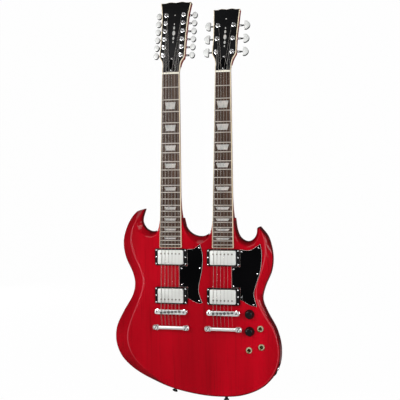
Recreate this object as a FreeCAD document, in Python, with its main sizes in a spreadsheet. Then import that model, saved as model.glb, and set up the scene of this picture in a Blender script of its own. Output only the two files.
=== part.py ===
import FreeCAD, Part
import math
import os
import Sketcher

# Double-neck solid-body electric guitar, 12 strings on the left neck and 6 on the right.
# Frame: +Z runs up along the necks, the front faces -Y and +X is the viewer's right.
# The origin is the outer end of the tail strap button, below the 6-string neck.
# y = 0 is the middle of the body's thickness. All lengths are millimetres.

SIZES = {
    # Body blank
    "body_thickness": 36.0,
    "body_width": 457.0,
    "body_length": 497.0,
    "bevel_depth": 9.0,
    "bevel_margin": 1.0,
    # Necks
    "scale_length": 628.65,
    "neck_pitch": 143.0,
    "neck_angle_deg": 2.5,
    "string_height_at_bridge": 18.0,
    "string_height_over_board": 2.6,
    "nut_width_twelve": 48.0,
    "nut_width_six": 42.5,
    "heel_width_twelve": 60.5,
    "heel_width_six": 57.5,
    "board_thickness": 6.0,
    "board_radius": 305.0,
    "board_past_last_fret": 7.0,
    "binding_width": 1.6,
    "neck_depth_at_nut": 14.5,
    "neck_depth_at_heel": 18.0,
    "heel_depth": 34.0,
    "heel_length": 58.0,
    "tenon_depth": 20.0,
    # Frets, markers and nuts
    "fret_width": 2.3,
    "fret_height": 1.1,
    "marker_depth": 1.2,
    "nut_thickness": 5.0,
    "nut_rise": 2.0,
    # Truss rods
    "rod_width": 6.0,
    "rod_depth": 6.0,
    "rod_setback": 12.0,
    "rod_pocket_length": 20.0,
    "rod_pocket_width": 12.0,
    "rod_nut_width": 7.5,
    "rod_nut_length": 7.0,
    "rod_cover_start": 1.0,
    "rod_cover_length": 40.0,
    "rod_cover_width": 26.0,
    # Headstocks
    "head_angle_deg": 14.0,
    "head_thickness": 14.0,
    "head_drop": 3.0,
    "head_length_twelve": 203.0,
    "head_width_twelve": 85.0,
    "head_length_six": 175.0,
    "head_width_six": 72.0,
    # Tuning machines
    "post_radius": 3.0,
    "post_rise": 10.0,
    "post_clearance": 0.4,
    "post_tip_height": 6.0,
    "post_offset_twelve": 24.3,
    "post_offset_six": 21.3,
    "post_start_twelve": 48.4,
    "post_start_six": 52.4,
    "post_pitch_twelve": 23.2,
    "post_pitch_six": 37.5,
    "housing_length": 18.0,
    "housing_width": 13.0,
    "housing_depth": 9.0,
    "housing_wall": 1.0,
    "worm_offset": 6.0,
    "shaft_radius": 1.8,
    "shaft_clearance": 0.4,
    "shaft_depth": 4.6,
    "shaft_past_post": 3.0,
    "post_depth": 7.0,
    "button_centre_twelve": 50.5,
    "button_centre_six": 49.5,
    "button_length_twelve": 17.5,
    "button_width_twelve": 14.5,
    "button_length_six": 24.0,
    "button_width_six": 15.0,
    "button_thickness": 7.0,
    # Pickups and their rings
    "neck_ring_gap": 4.7,
    "bridge_pickup_distance": 40.0,
    "cover_length": 70.0,
    "cover_width": 38.0,
    "cover_corner": 3.5,
    "cover_wall": 0.8,
    "cover_clearance": 0.8,
    "neck_cover_rise": 9.0,
    "bridge_cover_rise": 13.0,
    "coil_length": 66.0,
    "coil_height": 12.0,
    "baseplate_thickness": 1.5,
    "cavity_margin": 1.5,
    "cavity_depth": 14.0,
    "ring_length": 89.0,
    "ring_width": 45.0,
    "ring_corner": 3.0,
    "neck_ring_rise": 5.0,
    "bridge_ring_rise": 8.5,
    # Bridges
    "bridge_drop": 3.0,
    "bridge_length": 87.0,
    "bridge_width": 12.0,
    "bridge_base_height": 6.5,
    "bridge_lift": 9.0,
    "channel_length": 64.0,
    "channel_width": 9.0,
    "channel_depth": 4.0,
    "bridge_post_span": 74.0,
    "bridge_post_radius": 2.5,
    "post_seat_depth": 12.0,
    "wheel_radius": 7.5,
    "wheel_thickness": 2.0,
    "saddle_width": 8.0,
    "saddle_depth": 5.0,
    "string_span": 50.5,
    "pair_spacing": 2.4,
    "string_span_at_nut_six": 36.0,
    "string_span_at_nut_twelve": 39.5,
    "thick_string_radius": 0.58,
    "thin_string_radius": 0.15,
    "octave_string_radius": 0.16,
    "intonation": 3.6,
    # Tailpieces
    "tailpiece_distance": 45.0,
    "tailpiece_length": 100.0,
    "tailpiece_width": 14.0,
    "tailpiece_depth": 10.0,
    "tailpiece_lift": 5.0,
    "stud_span": 82.5,
    "stud_radius": 4.0,
    "stud_head_radius": 6.5,
    "stud_head_height": 2.5,
    "stud_clearance": 0.3,
    # Pickguards and covers
    "guard_thickness": 2.0,
    "guard_clearance": 0.5,
    # Controls
    "cavity_roof": 8.0,
    "cavity_lip": 5.0,
    "rear_cover_thickness": 2.0,
    "rear_cover_clearance": 0.3,
    "knob_radius": 12.6,
    "knob_top_radius": 9.5,
    "knob_height": 15.0,
    "knob_skirt": 4.0,
    "knob_gap": 0.8,
    "pot_radius": 12.0,
    "pot_height": 9.0,
    "pot_shaft_radius": 3.0,
    "pot_shaft_depth": 4.0,
    "pot_bushing_radius": 4.7,
    "control_clearance": 0.3,
    "switch_nut_radius": 8.5,
    "switch_nut_height": 2.5,
    "switch_bushing_radius": 5.8,
    "switch_mouth_radius": 4.2,
    "switch_box_length": 19.0,
    "switch_box_width": 13.0,
    "switch_box_height": 14.0,
    "lever_radius": 1.6,
    "lever_tip_radius": 2.6,
    "lever_tip_length": 8.0,
    "lever_rod_length": 12.0,
    "lever_pivot_depth": 5.0,
    "lever_barrel_radius": 3.0,
    "lever_barrel_length": 4.4,
    "switch_bore_depth": 8.06,
    "lever_tilt_deg": 12.0,
    # Output jack
    "jack_turn_deg": 20.0,
    "jack_plate_length": 38.0,
    "jack_plate_width": 26.0,
    "jack_plate_thickness": 1.5,
    "jack_bore_radius": 3.25,
    "jack_sleeve_radius": 4.8,
    "jack_sleeve_length": 24.0,
    "jack_nut_radius": 7.0,
    "jack_nut_height": 2.0,
    "jack_hole_radius": 9.0,
    "jack_hole_depth": 34.0,
    # Strap buttons
    "tail_button_height": 11.0,
    "strap_neck_radius": 4.0,
    "strap_head_radius": 7.5,
    "strap_head_height": 3.0,
    "strap_foot_radius": 6.5,
    "strap_foot_height": 2.0,
    "side_button_turn_deg": 20.0,
    # One overrun lets every cut pass its face
    "overrun": 2.0,
}

# Small round pieces that repeat have this many flat sides, and hidden ones fewer
SMALL_SIDES = 12
HIDDEN_SIDES = 8
# Their flat sides lie at this share of their corners' radius
HIDDEN_FLAT_SHARE = math.cos(math.pi / HIDDEN_SIDES)
FRET_COUNT = 22
MARKED_FRETS = (3, 5, 7, 9, 12, 15, 17, 19, 21)
OCTAVE = 12

DOC = FreeCAD.newDocument("DoubleNeckGuitar")
SHEET = DOC.addObject("Spreadsheet::Sheet", "Sizes")
for row, (alias, value) in enumerate(SIZES.items(), start=1):
    SHEET.set("A%d" % row, alias)
    SHEET.set("B%d" % row, str(value))
    SHEET.setAlias("B%d" % row, alias)
DOC.recompute()

NODES = []


class Size(float):
    """A length with the spreadsheet formula that it comes from."""

    def __new__(cls, value, text):
        made = super().__new__(cls, value)
        made.text = text
        return made

    def combined(self, other, sign, value):
        return Size(value, "(%s %s %s)" % (self.text, sign, getattr(other, "text", repr(other))))

    def __add__(self, other):
        return self.combined(other, "+", float(self) + float(other))

    def __sub__(self, other):
        return self.combined(other, "-", float(self) - float(other))

    def __mul__(self, other):
        return self.combined(other, "*", float(self) * float(other))

    def __truediv__(self, other):
        return self.combined(other, "/", float(self) / float(other))

    def __neg__(self):
        return Size(-float(self), "(-%s)" % self.text)


def size(alias):
    """The named size, as it stands in the spreadsheet."""
    return Size(SHEET.get(alias), "Sizes.%s" % alias)


def vec(x, y, z):
    """A point or direction."""
    return FreeCAD.Vector(x, y, z)


def spot(base, turn_axis=None, turn_deg=0.0):
    """A placement at a point, turned about an axis."""
    axis = turn_axis or vec(0, 0, 1)
    return FreeCAD.Placement(base, FreeCAD.Rotation(axis, float(turn_deg)))


def keep(thing, label):
    """Take an object of the document as a sub-part."""
    thing.Label = label
    NODES.append(thing)
    return thing


def keep_group(label, shapes):
    """Take a set of separate solids as one sub-part."""
    feature = DOC.addObject("Part::Feature", label)
    feature.Shape = shapes[0] if len(shapes) == 1 else Part.makeCompound(shapes)
    feature.Placement = FreeCAD.Placement()
    return keep(feature, label)


def moved(shape, placement):
    """A copy of the shape, carried by a placement."""
    copy = shape.copy()
    copy.Placement = placement.multiply(copy.Placement)
    return copy


def box(x_range, y_range, z_range):
    """A block between pairs of limits."""
    spans = [float(high) - float(low) for low, high in (x_range, y_range, z_range)]
    return Part.makeBox(*spans, vec(x_range[0], y_range[0], z_range[0]))


def extruded(corners, direction):
    """A prism on a closed outline of straight edges."""
    return Part.Face(Part.makePolygon(corners + corners[:1])).extrude(direction)


def through(points):
    """Arcs through successive threes of the points; two that are left make a straight edge."""
    edges = []
    for index in range(0, len(points) - 1, 2):
        three = points[index : index + 3]
        if len(three) == 3:
            edges.append(Part.Arc(*three).toShape())
        else:
            edges.append(Part.LineSegment(*three).toShape())
    return edges


def drilled(radius, start, direction, depth):
    """The solid of a round hole or rod."""
    return Part.makeCylinder(float(radius), float(depth), start, direction)


def prism(radius, depth, start, direction, sides=SMALL_SIDES):
    """A small rod or hole with flat sides, its corners at the radius."""
    ring = []
    for step in range(sides):
        angle = 2 * math.pi * (step + 1 / 2) / sides
        ring.append(vec(radius * math.cos(angle), radius * math.sin(angle), 0))
    solid = extruded(ring, vec(0, 0, depth))
    return moved(solid, FreeCAD.Placement(start, FreeCAD.Rotation(vec(0, 0, 1), direction)))


def pivoted(radius, depth, start, direction, sides=SMALL_SIDES):
    """A flat-sided rod with one side truly round, so that its axis can be read from it."""
    turn = FreeCAD.Rotation(vec(0, 0, 1), direction)
    turn = turn.multiply(FreeCAD.Rotation(vec(0, 0, 1), 180 / sides))
    side = Part.makeCylinder(float(radius), float(depth), vec(0, 0, 0), vec(0, 0, 1), 360 / sides)
    side = moved(side, FreeCAD.Placement(start, turn))
    return prism(float(radius), float(depth), start, direction, sides).fuse(side).removeSplitter()


def stacked(steps, start, direction, sides=SMALL_SIDES):
    """Flat-sided rods end to end; a step is (radius, length) or (radius, length, its own sides)."""
    solid = None
    base = start
    for radius, length, *own_sides in steps:
        piece = prism(radius, float(length), base, direction, *(own_sides or [sides]))
        solid = piece if solid is None else solid.fuse(piece)
        base = base + direction * float(length)
    return solid


def cornered_block(length, width, corner, low, high, centre_x, centre_z):
    """A block that stands off the body between two levels, its upright corners cut off."""
    half_length = float(length) / 2
    half_width = float(width) / 2
    block = box(
        (centre_x - half_length, centre_x + half_length),
        (low, high),
        (centre_z - half_width, centre_z + half_width),
    )
    upright = [edge for edge in block.Edges if abs(edge.BoundBox.YLength) > float(corner) / 2]
    upright = [edge for edge in upright if edge.BoundBox.XLength + edge.BoundBox.ZLength < float(corner)]
    return block.makeChamfer(float(corner), upright) if corner else block


# Parametric bodies: a closed outline of straight edges, padded

def origin_plane(body, role):
    """One of a body's own origin planes."""
    return [plane for plane in body.Origin.OriginFeatures if plane.Role == role][0]


def bound_sketch(body, role, corners):
    """A closed sketch whose every corner is tied to the spreadsheet."""
    sketch = body.newObject("Sketcher::SketchObject", body.Name + "_outline")
    sketch.AttachmentSupport = [(origin_plane(body, role), "")]
    sketch.MapMode = "FlatFace"
    for start, end in zip(corners, corners[1:] + corners[:1]):
        sketch.addGeometry(Part.LineSegment(vec(*start, 0), vec(*end, 0)), False)
    for index in range(len(corners)):
        following = (index + 1) % len(corners)
        sketch.addConstraint(Sketcher.Constraint("Coincident", index, 2, following, 1))
    for index, corner in enumerate(corners):
        for axis, kind, length in ((-2, "DistanceX", corner[0]), (-1, "DistanceY", corner[1])):
            if isinstance(length, Size):
                row = sketch.addConstraint(
                    Sketcher.Constraint(kind, -1, 1, index, 1, float(length))
                )
                sketch.setExpression("Constraints[%d]" % row, length.text)
            else:
                sketch.addConstraint(Sketcher.Constraint("PointOnObject", index, 1, axis))
    return sketch


def padded_body(label, corners, length, placement):
    """A body padded along its own Z from an outline of straight edges."""
    body = DOC.addObject("PartDesign::Body", label)
    sketch = bound_sketch(body, "XY_Plane", corners)
    pad = body.newObject("PartDesign::Pad", label + "_padded")
    pad.Profile = sketch
    pad.setExpression("Length", length.text)
    body.Placement = placement
    return body


# Body: its top and back are flat, and a wide bevel falls to the side wall.
# Each row gives a point of the edge, then the point of the bevel's inner line,
# as shares of the body's width from the 6-string centreline and of its length.

OUTLINE_LIMIT_SHARES = (-0.6650, 0.3240)
# The necks' sides, where they meet the body, stand at these shares of its width
NECK_SIDE_SHARES = (-0.3769, -0.2490, -0.0602, 0.0602)
LEFT_CUTAWAY_SHARES = (
    (-0.398, 0.887, -0.399, 0.869),
    (-0.438, 0.876, -0.440, 0.847),
    (-0.477, 0.893, -0.495, 0.863),
    (-0.498, 0.934, -0.520, 0.898),
)
LEFT_HORN_SHARE = (-0.479, 0.998, -0.523, 0.934)
OUTER_EDGE_SHARES = (
    (-0.532, 0.980, -0.532, 0.927),
    (-0.586, 0.911, -0.553, 0.885),
    (-0.613, 0.823, -0.561, 0.823),
    (-0.600, 0.738, -0.540, 0.748),
    (-0.558, 0.652, -0.498, 0.662),
    (-0.545, 0.592, -0.486, 0.598),
    (-0.562, 0.527, -0.503, 0.535),
    (-0.619, 0.439, -0.558, 0.410),
    (-0.663, 0.352, -0.584, 0.332),
    (-0.665, 0.264, -0.582, 0.262),
    (-0.621, 0.181, -0.545, 0.191),
    (-0.516, 0.106, -0.477, 0.131),
    (-0.350, 0.044, -0.347, 0.053),
    (-0.186, 0.010, -0.184, 0.019),
    (-0.033, 0.000, -0.033, 0.009),
    (0.109, 0.014, 0.106, 0.023),
    (0.236, 0.070, 0.230, 0.077),
    (0.309, 0.163, 0.300, 0.166),
    (0.324, 0.260, 0.315, 0.260),
    (0.300, 0.360, 0.291, 0.356),
    (0.245, 0.457, 0.231, 0.449),
    (0.221, 0.521, 0.196, 0.519),
    (0.236, 0.588, 0.195, 0.596),
    (0.274, 0.672, 0.225, 0.682),
    (0.282, 0.755, 0.245, 0.759),
    (0.258, 0.845, 0.240, 0.841),
)
RIGHT_HORN_SHARE = (0.208, 0.904, 0.216, 0.893)
RIGHT_TIP_SHARE = (0.196, 0.897, 0.213, 0.889)
RIGHT_CUTAWAY_SHARES = (
    (0.191, 0.865, 0.202, 0.845),
    (0.168, 0.836, 0.175, 0.809),
    (0.131, 0.827, 0.129, 0.800),
    (0.094, 0.847, 0.084, 0.827),
    (0.072, 0.887, 0.069, 0.877),
)
MIDDLE_CUTAWAY_SHARES = (
    (-0.077, 0.881, -0.077, 0.865),
    (-0.109, 0.857, -0.113, 0.825),
    (-0.155, 0.852, -0.155, 0.814),
    (-0.201, 0.869, -0.195, 0.835),
    (-0.234, 0.905, -0.230, 0.885),
)
# Heights of the saddle line and of the joints with the necks, as shares of the length
SADDLE_SHARE = 0.4547
NECK_JOINT_SHARE = 0.9472
# The bevel is as deep as this share of its width, until it reaches its full depth
BEVEL_SLOPE_SHARE = 0.75
# Straight steps in each arc of the outline
ARC_STEPS = 8


class Neck:
    """Sizes and places of one neck, from the sheet."""

    def __init__(self, name, centre, strings):
        self.name = name
        self.centre = centre
        self.strings = strings
        self.nut_width = size("nut_width_" + name)
        self.heel_width = size("heel_width_" + name)
        self.head_length = size("head_length_" + name)
        self.head_width = size("head_width_" + name)
        self.post_offset = size("post_offset_" + name)
        self.post_start = size("post_start_" + name)
        self.post_pitch = size("post_pitch_" + name)
        self.button_centre = size("button_centre_" + name)
        self.button_length = size("button_length_" + name)
        self.button_width = size("button_width_" + name)
        self.frame = spot(
            vec(centre, FRONT - size("string_height_at_bridge"), saddle_height()),
            vec(1, 0, 0),
            -size("neck_angle_deg"),
        )
        head_root = vec(0, HEAD_FACE, size("scale_length") + size("nut_thickness"))
        self.head_frame = self.frame.multiply(
            spot(head_root, vec(1, 0, 0), -size("head_angle_deg"))
        )

    def half_width(self, distance):
        """Half of the board's width at a distance from the saddle line."""
        reach = float(size("scale_length")) - BOARD_END
        share = (float(size("scale_length")) - distance) / reach
        width = self.nut_width + (self.heel_width - self.nut_width) * share
        return float(width) / 2


def body_height(share):
    """Height of a share of the body's length."""
    return float(size("tail_button_height")) + share * float(size("body_length"))


def saddle_height():
    """Height of the line that the saddles stand near."""
    return body_height(SADDLE_SHARE)


def joint_distance():
    """Distance from the saddle line to the body's edge beside a neck."""
    rise = body_height(NECK_JOINT_SHARE) - saddle_height()
    return rise / math.cos(math.radians(size("neck_angle_deg")))


def fret_distance(fret):
    """Distance of a fret from the saddle line, by equal temperament."""
    return float(size("scale_length")) * 2 ** (-fret / OCTAVE)


FRONT = -float(size("body_thickness")) / 2
BACK = -FRONT
BOARD_FACE = float(size("string_height_over_board"))
BOARD_BACK = BOARD_FACE + float(size("board_thickness"))
HEAD_FACE = BOARD_FACE + float(size("head_drop"))
BOARD_END = fret_distance(FRET_COUNT) - float(size("board_past_last_fret"))
TWELVE = Neck("twelve", -float(size("neck_pitch")), 12)
SIX = Neck("six", 0.0, 6)
NECKS = (TWELVE, SIX)


def neck_side(neck, side):
    """Where the side of a neck crosses the body's edge."""
    return neck.centre + side * neck.half_width(joint_distance())


def across_body(share):
    """Place across the body of a share of its width, with the necks' sides where they are."""
    width = float(size("body_width"))
    low, high = OUTLINE_LIMIT_SHARES
    shares = (low,) + NECK_SIDE_SHARES + (high,)
    sides = [neck_side(neck, side) for neck in NECKS for side in (-1, 1)]
    places = [low * width] + sides + [high * width]
    index = max(1, sum(share > limit for limit in shares[:-1]))
    part = (share - shares[index - 1]) / (shares[index] - shares[index - 1])
    return places[index - 1] + part * (places[index] - places[index - 1])


def on_body(x_share, z_share):
    """Place of a pair of shares on the body's front."""
    return across_body(x_share), body_height(z_share)


def edge_row(shares):
    """A point of the body's edge and one of the bevel's inner line."""
    return on_body(*shares[:2]), on_body(*shares[2:])


def joint_row(neck, side):
    """The corner where a cutaway meets the side of a neck."""
    place = (neck_side(neck, side), body_height(NECK_JOINT_SHARE))
    return place, place


def bevel_drop(row):
    """Depth of the bevel at a point of the edge."""
    outer, inner = row
    inset = math.dist(outer, inner)
    margin = float(size("bevel_margin"))
    return min(float(size("bevel_depth")), max(margin, BEVEL_SLOPE_SHARE * inset))


def body_spans():
    """The rows of each edge of the outline, from corner to corner."""
    left_joint = joint_row(TWELVE, -1)
    left_horn = edge_row(LEFT_HORN_SHARE)
    right_horn = edge_row(RIGHT_HORN_SHARE)
    right_tip = edge_row(RIGHT_TIP_SHARE)
    right_joint = joint_row(SIX, 1)
    middle_right = joint_row(SIX, -1)
    middle_left = joint_row(TWELVE, 1)
    return (
        [left_joint] + [edge_row(row) for row in LEFT_CUTAWAY_SHARES] + [left_horn],
        [left_horn] + [edge_row(row) for row in OUTER_EDGE_SHARES] + [right_horn],
        [right_horn, right_tip],
        [right_tip] + [edge_row(row) for row in RIGHT_CUTAWAY_SHARES] + [right_joint],
        [right_joint, middle_right],
        [middle_right] + [edge_row(row) for row in MIDDLE_CUTAWAY_SHARES] + [middle_left],
        [middle_left, left_joint],
    )


def sampled(points):
    """Even steps along arcs through successive threes of the points."""
    corners = [points[0]]
    for index in range(0, len(points) - 1, 2):
        three = points[index : index + 3]
        if len(three) == 3:
            arc = Part.Arc(*three)
            span = arc.LastParameter - arc.FirstParameter
            steps = range(1, ARC_STEPS + 1)
            corners += [arc.value(arc.FirstParameter + span * step / ARC_STEPS) for step in steps]
        else:
            corners.append(three[1])
    return corners


def body_ring(spans, depth, inner):
    """Corners of one of the body's four rings, all in the same number of steps."""
    corners = []
    for rows in spans:
        points = []
        for row in rows:
            x, z = row[1] if inner else row[0]
            drop = 0.0 if inner else math.copysign(bevel_drop(row), -depth)
            points.append(vec(x, depth + drop, z))
        corners += sampled(points)[:-1]
    return corners


def flat_face(*corners):
    """A flat face on its corners."""
    return Part.Face(Part.makePolygon([*corners, corners[0]]))


def bevel_faces(inner, outer):
    """Flat triangles between two rings, each space halved along its shorter diagonal."""
    faces = []
    for index in range(len(inner)):
        a, b = inner[index - 1], inner[index]
        c, d = outer[index - 1], outer[index]
        if a.distanceToPoint(d) < b.distanceToPoint(c):
            faces += [flat_face(a, b, d), flat_face(a, d, c)]
        else:
            faces += [flat_face(a, b, c), flat_face(b, d, c)]
    return faces


def body_blank():
    """The blank: flat in front and behind, a bevel on each side, and a wall between them."""
    spans = body_spans()
    front = body_ring(spans, FRONT, True)
    front_edge = body_ring(spans, FRONT, False)
    back_edge = body_ring(spans, BACK, False)
    back = body_ring(spans, BACK, True)
    faces = [flat_face(*front), flat_face(*back)]
    faces += bevel_faces(front, front_edge) + bevel_faces(back, back_edge)
    for index in range(len(front_edge)):
        near = (front_edge[index - 1], front_edge[index])
        faces.append(flat_face(*near, back_edge[index], back_edge[index - 1]))
    blank = Part.makeSolid(Part.makeShell(faces))
    blank.fix(0, 0, 0)
    return blank


# Necks: a round-backed shaft, a deeper heel, a tenon in the body and a tilted head

# How much of a section's depth is a straight side before its back turns round
SHAFT_SHOULDER_SHARE = 0.2
HEEL_SHOULDER_SHARE = 0.6
HEAD_SHOULDER_SHARE = 0.6
# Where the heel's middle section stands, and how much of its depth it has by there
HEEL_MIDDLE_SHARE = 0.45
HEEL_DEPTH_SHARE = 0.3

# Side of each head from its throat to its crest: share of the head's length from the
# nut, then share of half the head's width
HEAD_SIDE_SHARES = {
    "twelve": (
        (0.089, 0.576),
        (0.150, 0.632),
        (0.217, 0.807),
        (0.419, 0.812),
        (0.616, 0.833),
        (0.813, 0.878),
        (0.990, 1.000),
    ),
    "six": (
        (0.103, 0.597),
        (0.180, 0.686),
        (0.274, 0.897),
        (0.480, 0.886),
        (0.726, 0.931),
        (0.857, 0.966),
        (0.989, 1.000),
    ),
}
# The crest is a gentle wave with two low peaks
CREST_SHARES = ((0.987, 0.706), (1.000, 0.400), (0.989, 0.000))


def neck_section(half_width, depth, shoulder_share, front, placement):
    """A cross-section with a flat front, straight shoulders and a round back."""
    shoulder = front + depth * shoulder_share
    corners = [
        vec(-half_width, front, 0),
        vec(half_width, front, 0),
        vec(half_width, shoulder, 0),
        vec(0, front + depth, 0),
        vec(-half_width, shoulder, 0),
    ]
    edges = [
        Part.LineSegment(corners[0], corners[1]).toShape(),
        Part.LineSegment(corners[1], corners[2]).toShape(),
        Part.Arc(corners[2], corners[3], corners[4]).toShape(),
        Part.LineSegment(corners[4], corners[0]).toShape(),
    ]
    return moved(Part.Wire(edges), placement)


def shaft_depth(distance):
    """Depth of the shaft behind the board at a distance from the saddle line."""
    heel_top = joint_distance() + float(size("heel_length"))
    share = (distance - heel_top) / (float(size("scale_length")) - heel_top)
    at_heel = float(size("neck_depth_at_heel"))
    return at_heel + (float(size("neck_depth_at_nut")) - at_heel) * share


def shaft_solids(neck):
    """Tenon, heel, shaft and throat of one neck, in the neck's frame."""
    joint = joint_distance()
    heel_length = float(size("heel_length"))
    nut_line = float(size("scale_length"))
    nut_back = nut_line + float(size("nut_thickness"))
    depth_nut = float(size("neck_depth_at_nut"))
    heel_depth = float(size("heel_depth"))
    tenon = extruded(board_corners(neck, BOARD_END, joint, 0.0), vec(0, size("tenon_depth"), 0))

    heel_middle = joint + HEEL_MIDDLE_SHARE * heel_length
    heel_top = joint + heel_length
    shaft_middle = (heel_top + nut_line) / 2
    middle_depth = shaft_depth(heel_top)
    middle_depth += HEEL_DEPTH_SHARE * (heel_depth - middle_depth)
    middle_share = (SHAFT_SHOULDER_SHARE + HEEL_SHOULDER_SHARE) / 2
    stations = (
        (joint, heel_depth, HEEL_SHOULDER_SHARE),
        (heel_middle, middle_depth, middle_share),
        (heel_top, shaft_depth(heel_top), SHAFT_SHOULDER_SHARE),
        (shaft_middle, shaft_depth(shaft_middle), SHAFT_SHOULDER_SHARE),
        (nut_line, depth_nut, SHAFT_SHOULDER_SHARE),
        (nut_back, depth_nut, SHAFT_SHOULDER_SHARE),
    )
    rings = [
        neck_section(neck.half_width(min(z, nut_line)), depth, share, BOARD_BACK, spot(vec(0, 0, z)))
        for z, depth, share in stations
    ]
    shaft = Part.makeLoft(rings, True, True)

    step = BOARD_BACK - HEAD_FACE
    nut_shoulder_share = (step + SHAFT_SHOULDER_SHARE * depth_nut) / (step + depth_nut)
    start_share, width_share = HEAD_SIDE_SHARES[neck.name][0]
    tilt = spot(vec(0, HEAD_FACE, nut_back), vec(1, 0, 0), -size("head_angle_deg"))
    plate_start = tilt.multiply(spot(vec(0, 0, start_share * neck.head_length)))
    throat = Part.makeLoft(
        [
            neck_section(
                neck.half_width(nut_line),
                step + depth_nut,
                nut_shoulder_share,
                HEAD_FACE,
                spot(vec(0, 0, nut_back)),
            ),
            neck_section(
                width_share * float(neck.head_width) / 2,
                float(size("head_thickness")),
                HEAD_SHOULDER_SHARE,
                0.0,
                plate_start,
            ),
        ],
        True,
        True,
    )
    return [tenon, shaft, throat]


def board_corners(neck, low, high, inset):
    """Corners of the board's outline between two distances, on the board's back."""
    return [
        vec(-neck.half_width(low) + inset, BOARD_BACK, low),
        vec(neck.half_width(low) - inset, BOARD_BACK, low),
        vec(neck.half_width(high) - inset, BOARD_BACK, high),
        vec(-neck.half_width(high) + inset, BOARD_BACK, high),
    ]


def head_plate(neck):
    """The head above its throat, in the head's frame."""
    half_width = float(neck.head_width) / 2
    length = float(neck.head_length)
    right = [vec(w * half_width, 0, t * length) for t, w in HEAD_SIDE_SHARES[neck.name]]
    crest = [vec(w * half_width, 0, t * length) for t, w in CREST_SHARES]
    middle = crest.pop()
    left = [vec(-point.x, 0, point.z) for point in reversed(right)]
    crest_left = [vec(-point.x, 0, point.z) for point in reversed(crest)]
    edges = through(right + crest + [middle] + crest_left + left)
    edges.append(Part.LineSegment(left[-1], right[0]).toShape())
    face = Part.Face(Part.Wire(edges))
    return face.extrude(vec(0, size("head_thickness"), 0))


def post_places(neck):
    """Side (-1 or 1) and place of each post in the head's frame, from the nut up."""
    rows = neck.strings // 2
    places = []
    for side in (-1, 1):
        for row in range(rows):
            along = float(neck.post_start) + row * float(neck.post_pitch)
            places.append((side, side * float(neck.post_offset), along))
    return places


def rod_top():
    """Distance of the truss rod's end from the saddle line."""
    return float(size("scale_length") + size("nut_thickness") + size("rod_nut_length"))


def rod_solid():
    """One truss rod with its nut, in the neck's frame."""
    half_width = float(size("rod_width")) / 2
    half_nut = float(size("rod_nut_width")) / 2
    depth = float(size("rod_depth"))
    middle = BOARD_BACK + depth / 2
    low = BOARD_END + float(size("rod_setback"))
    nut_back = float(size("scale_length") + size("nut_thickness"))
    bar = box((-half_width, half_width), (BOARD_BACK, BOARD_BACK + depth), (low, nut_back))
    nut = box((-half_nut, half_nut), (middle - half_nut, middle + half_nut), (nut_back, rod_top()))
    return bar.fuse(nut)


def rod_cuts():
    """The rod's slot and the pocket that its nut is reached through."""
    half_width = float(size("rod_width")) / 2
    half_pocket = float(size("rod_pocket_width")) / 2
    half_nut = float(size("rod_nut_width")) / 2
    depth = float(size("rod_depth"))
    low = BOARD_END + float(size("rod_setback"))
    nut_back = float(size("scale_length") + size("nut_thickness"))
    floor = BOARD_BACK + depth / 2 + half_nut
    slot = box((-half_width, half_width), (BOARD_BACK, BOARD_BACK + depth), (low, nut_back))
    pocket = box(
        (-half_pocket, half_pocket),
        (HEAD_FACE - size("overrun"), floor),
        (nut_back, nut_back + size("rod_pocket_length")),
    )
    return slot, pocket


def neck_solid(neck):
    """One whole neck with its head, in the guitar's frame."""
    thickness = float(size("head_thickness"))
    overrun = float(size("overrun"))
    plate = head_plate(neck)
    reach = thickness + 2 * overrun
    hole_radius = float(size("post_radius") + size("post_clearance")) / HIDDEN_FLAT_SHARE
    for _, across, along in post_places(neck):
        start = vec(across, -overrun, along)
        plate = plate.cut(prism(hole_radius, reach, start, vec(0, 1, 0), HIDDEN_SIDES))
    solid = moved(plate, neck.head_frame)
    for piece in shaft_solids(neck):
        solid = solid.fuse(moved(piece, neck.frame))
    for cut in rod_cuts():
        solid = solid.cut(moved(cut, neck.frame))
    return solid


# Fingerboards, their bindings, frets, inlays and nuts

# The crown has a flat middle, this share as wide as the narrower nut, and falls beside it
CROWN_FLAT_SHARE = 0.965
# A fret stops this share of the binding short of the board's edge
FRET_END_SHARE = 0.5
# Inlays, as shares of the board's width and of the space between two frets
MARKER_WIDE_SHARE = {"twelve": 0.58, "six": 0.70}
MARKER_NARROW_SHARE = {"twelve": 0.45, "six": 0.53}
MARKER_LENGTH_SHARE = 0.58
MARKER_LENGTH_LOSS_SHARE = 0.011


def crown_flat():
    """Half width of the flat middle of the crowned face."""
    return CROWN_FLAT_SHARE * float(SIX.nut_width) / 2


def crown_drop(x):
    """How far the crowned face lies behind its middle at a place across the board."""
    flat = crown_flat()
    middle = (flat + float(TWELVE.heel_width) / 2) / 2
    slope = middle / float(size("board_radius"))
    return max(0.0, abs(x) - flat) * slope


def crowned_prism(half_width, gain, depth, low, high):
    """A slab under the crowned face, raised off it by the gain and this deep at its middle."""
    top = [(x, BOARD_FACE - gain + crown_drop(x)) for x in crown_places(half_width)]
    base = [(half_width, BOARD_FACE - gain + depth), (-half_width, BOARD_FACE - gain + depth)]
    corners = [vec(x, y, low) for x, y in top + base]
    return extruded(corners, vec(0, 0, high - low))


def crown_places(half_width):
    """The corners of the crowned face, across the board."""
    flat = crown_flat()
    return (-half_width, -flat, flat, half_width)


def board_blank(neck, inset):
    """A crowned board of the full length, drawn in from its edges by the inset."""
    nut_line = float(size("scale_length"))
    corners = board_corners(neck, BOARD_END, nut_line, inset)
    thickness = float(size("board_thickness"))
    crowned = crowned_prism(float(neck.heel_width), 0.0, thickness, BOARD_END, nut_line)
    return extruded(corners, vec(0, -thickness, 0)).common(crowned)


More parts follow.
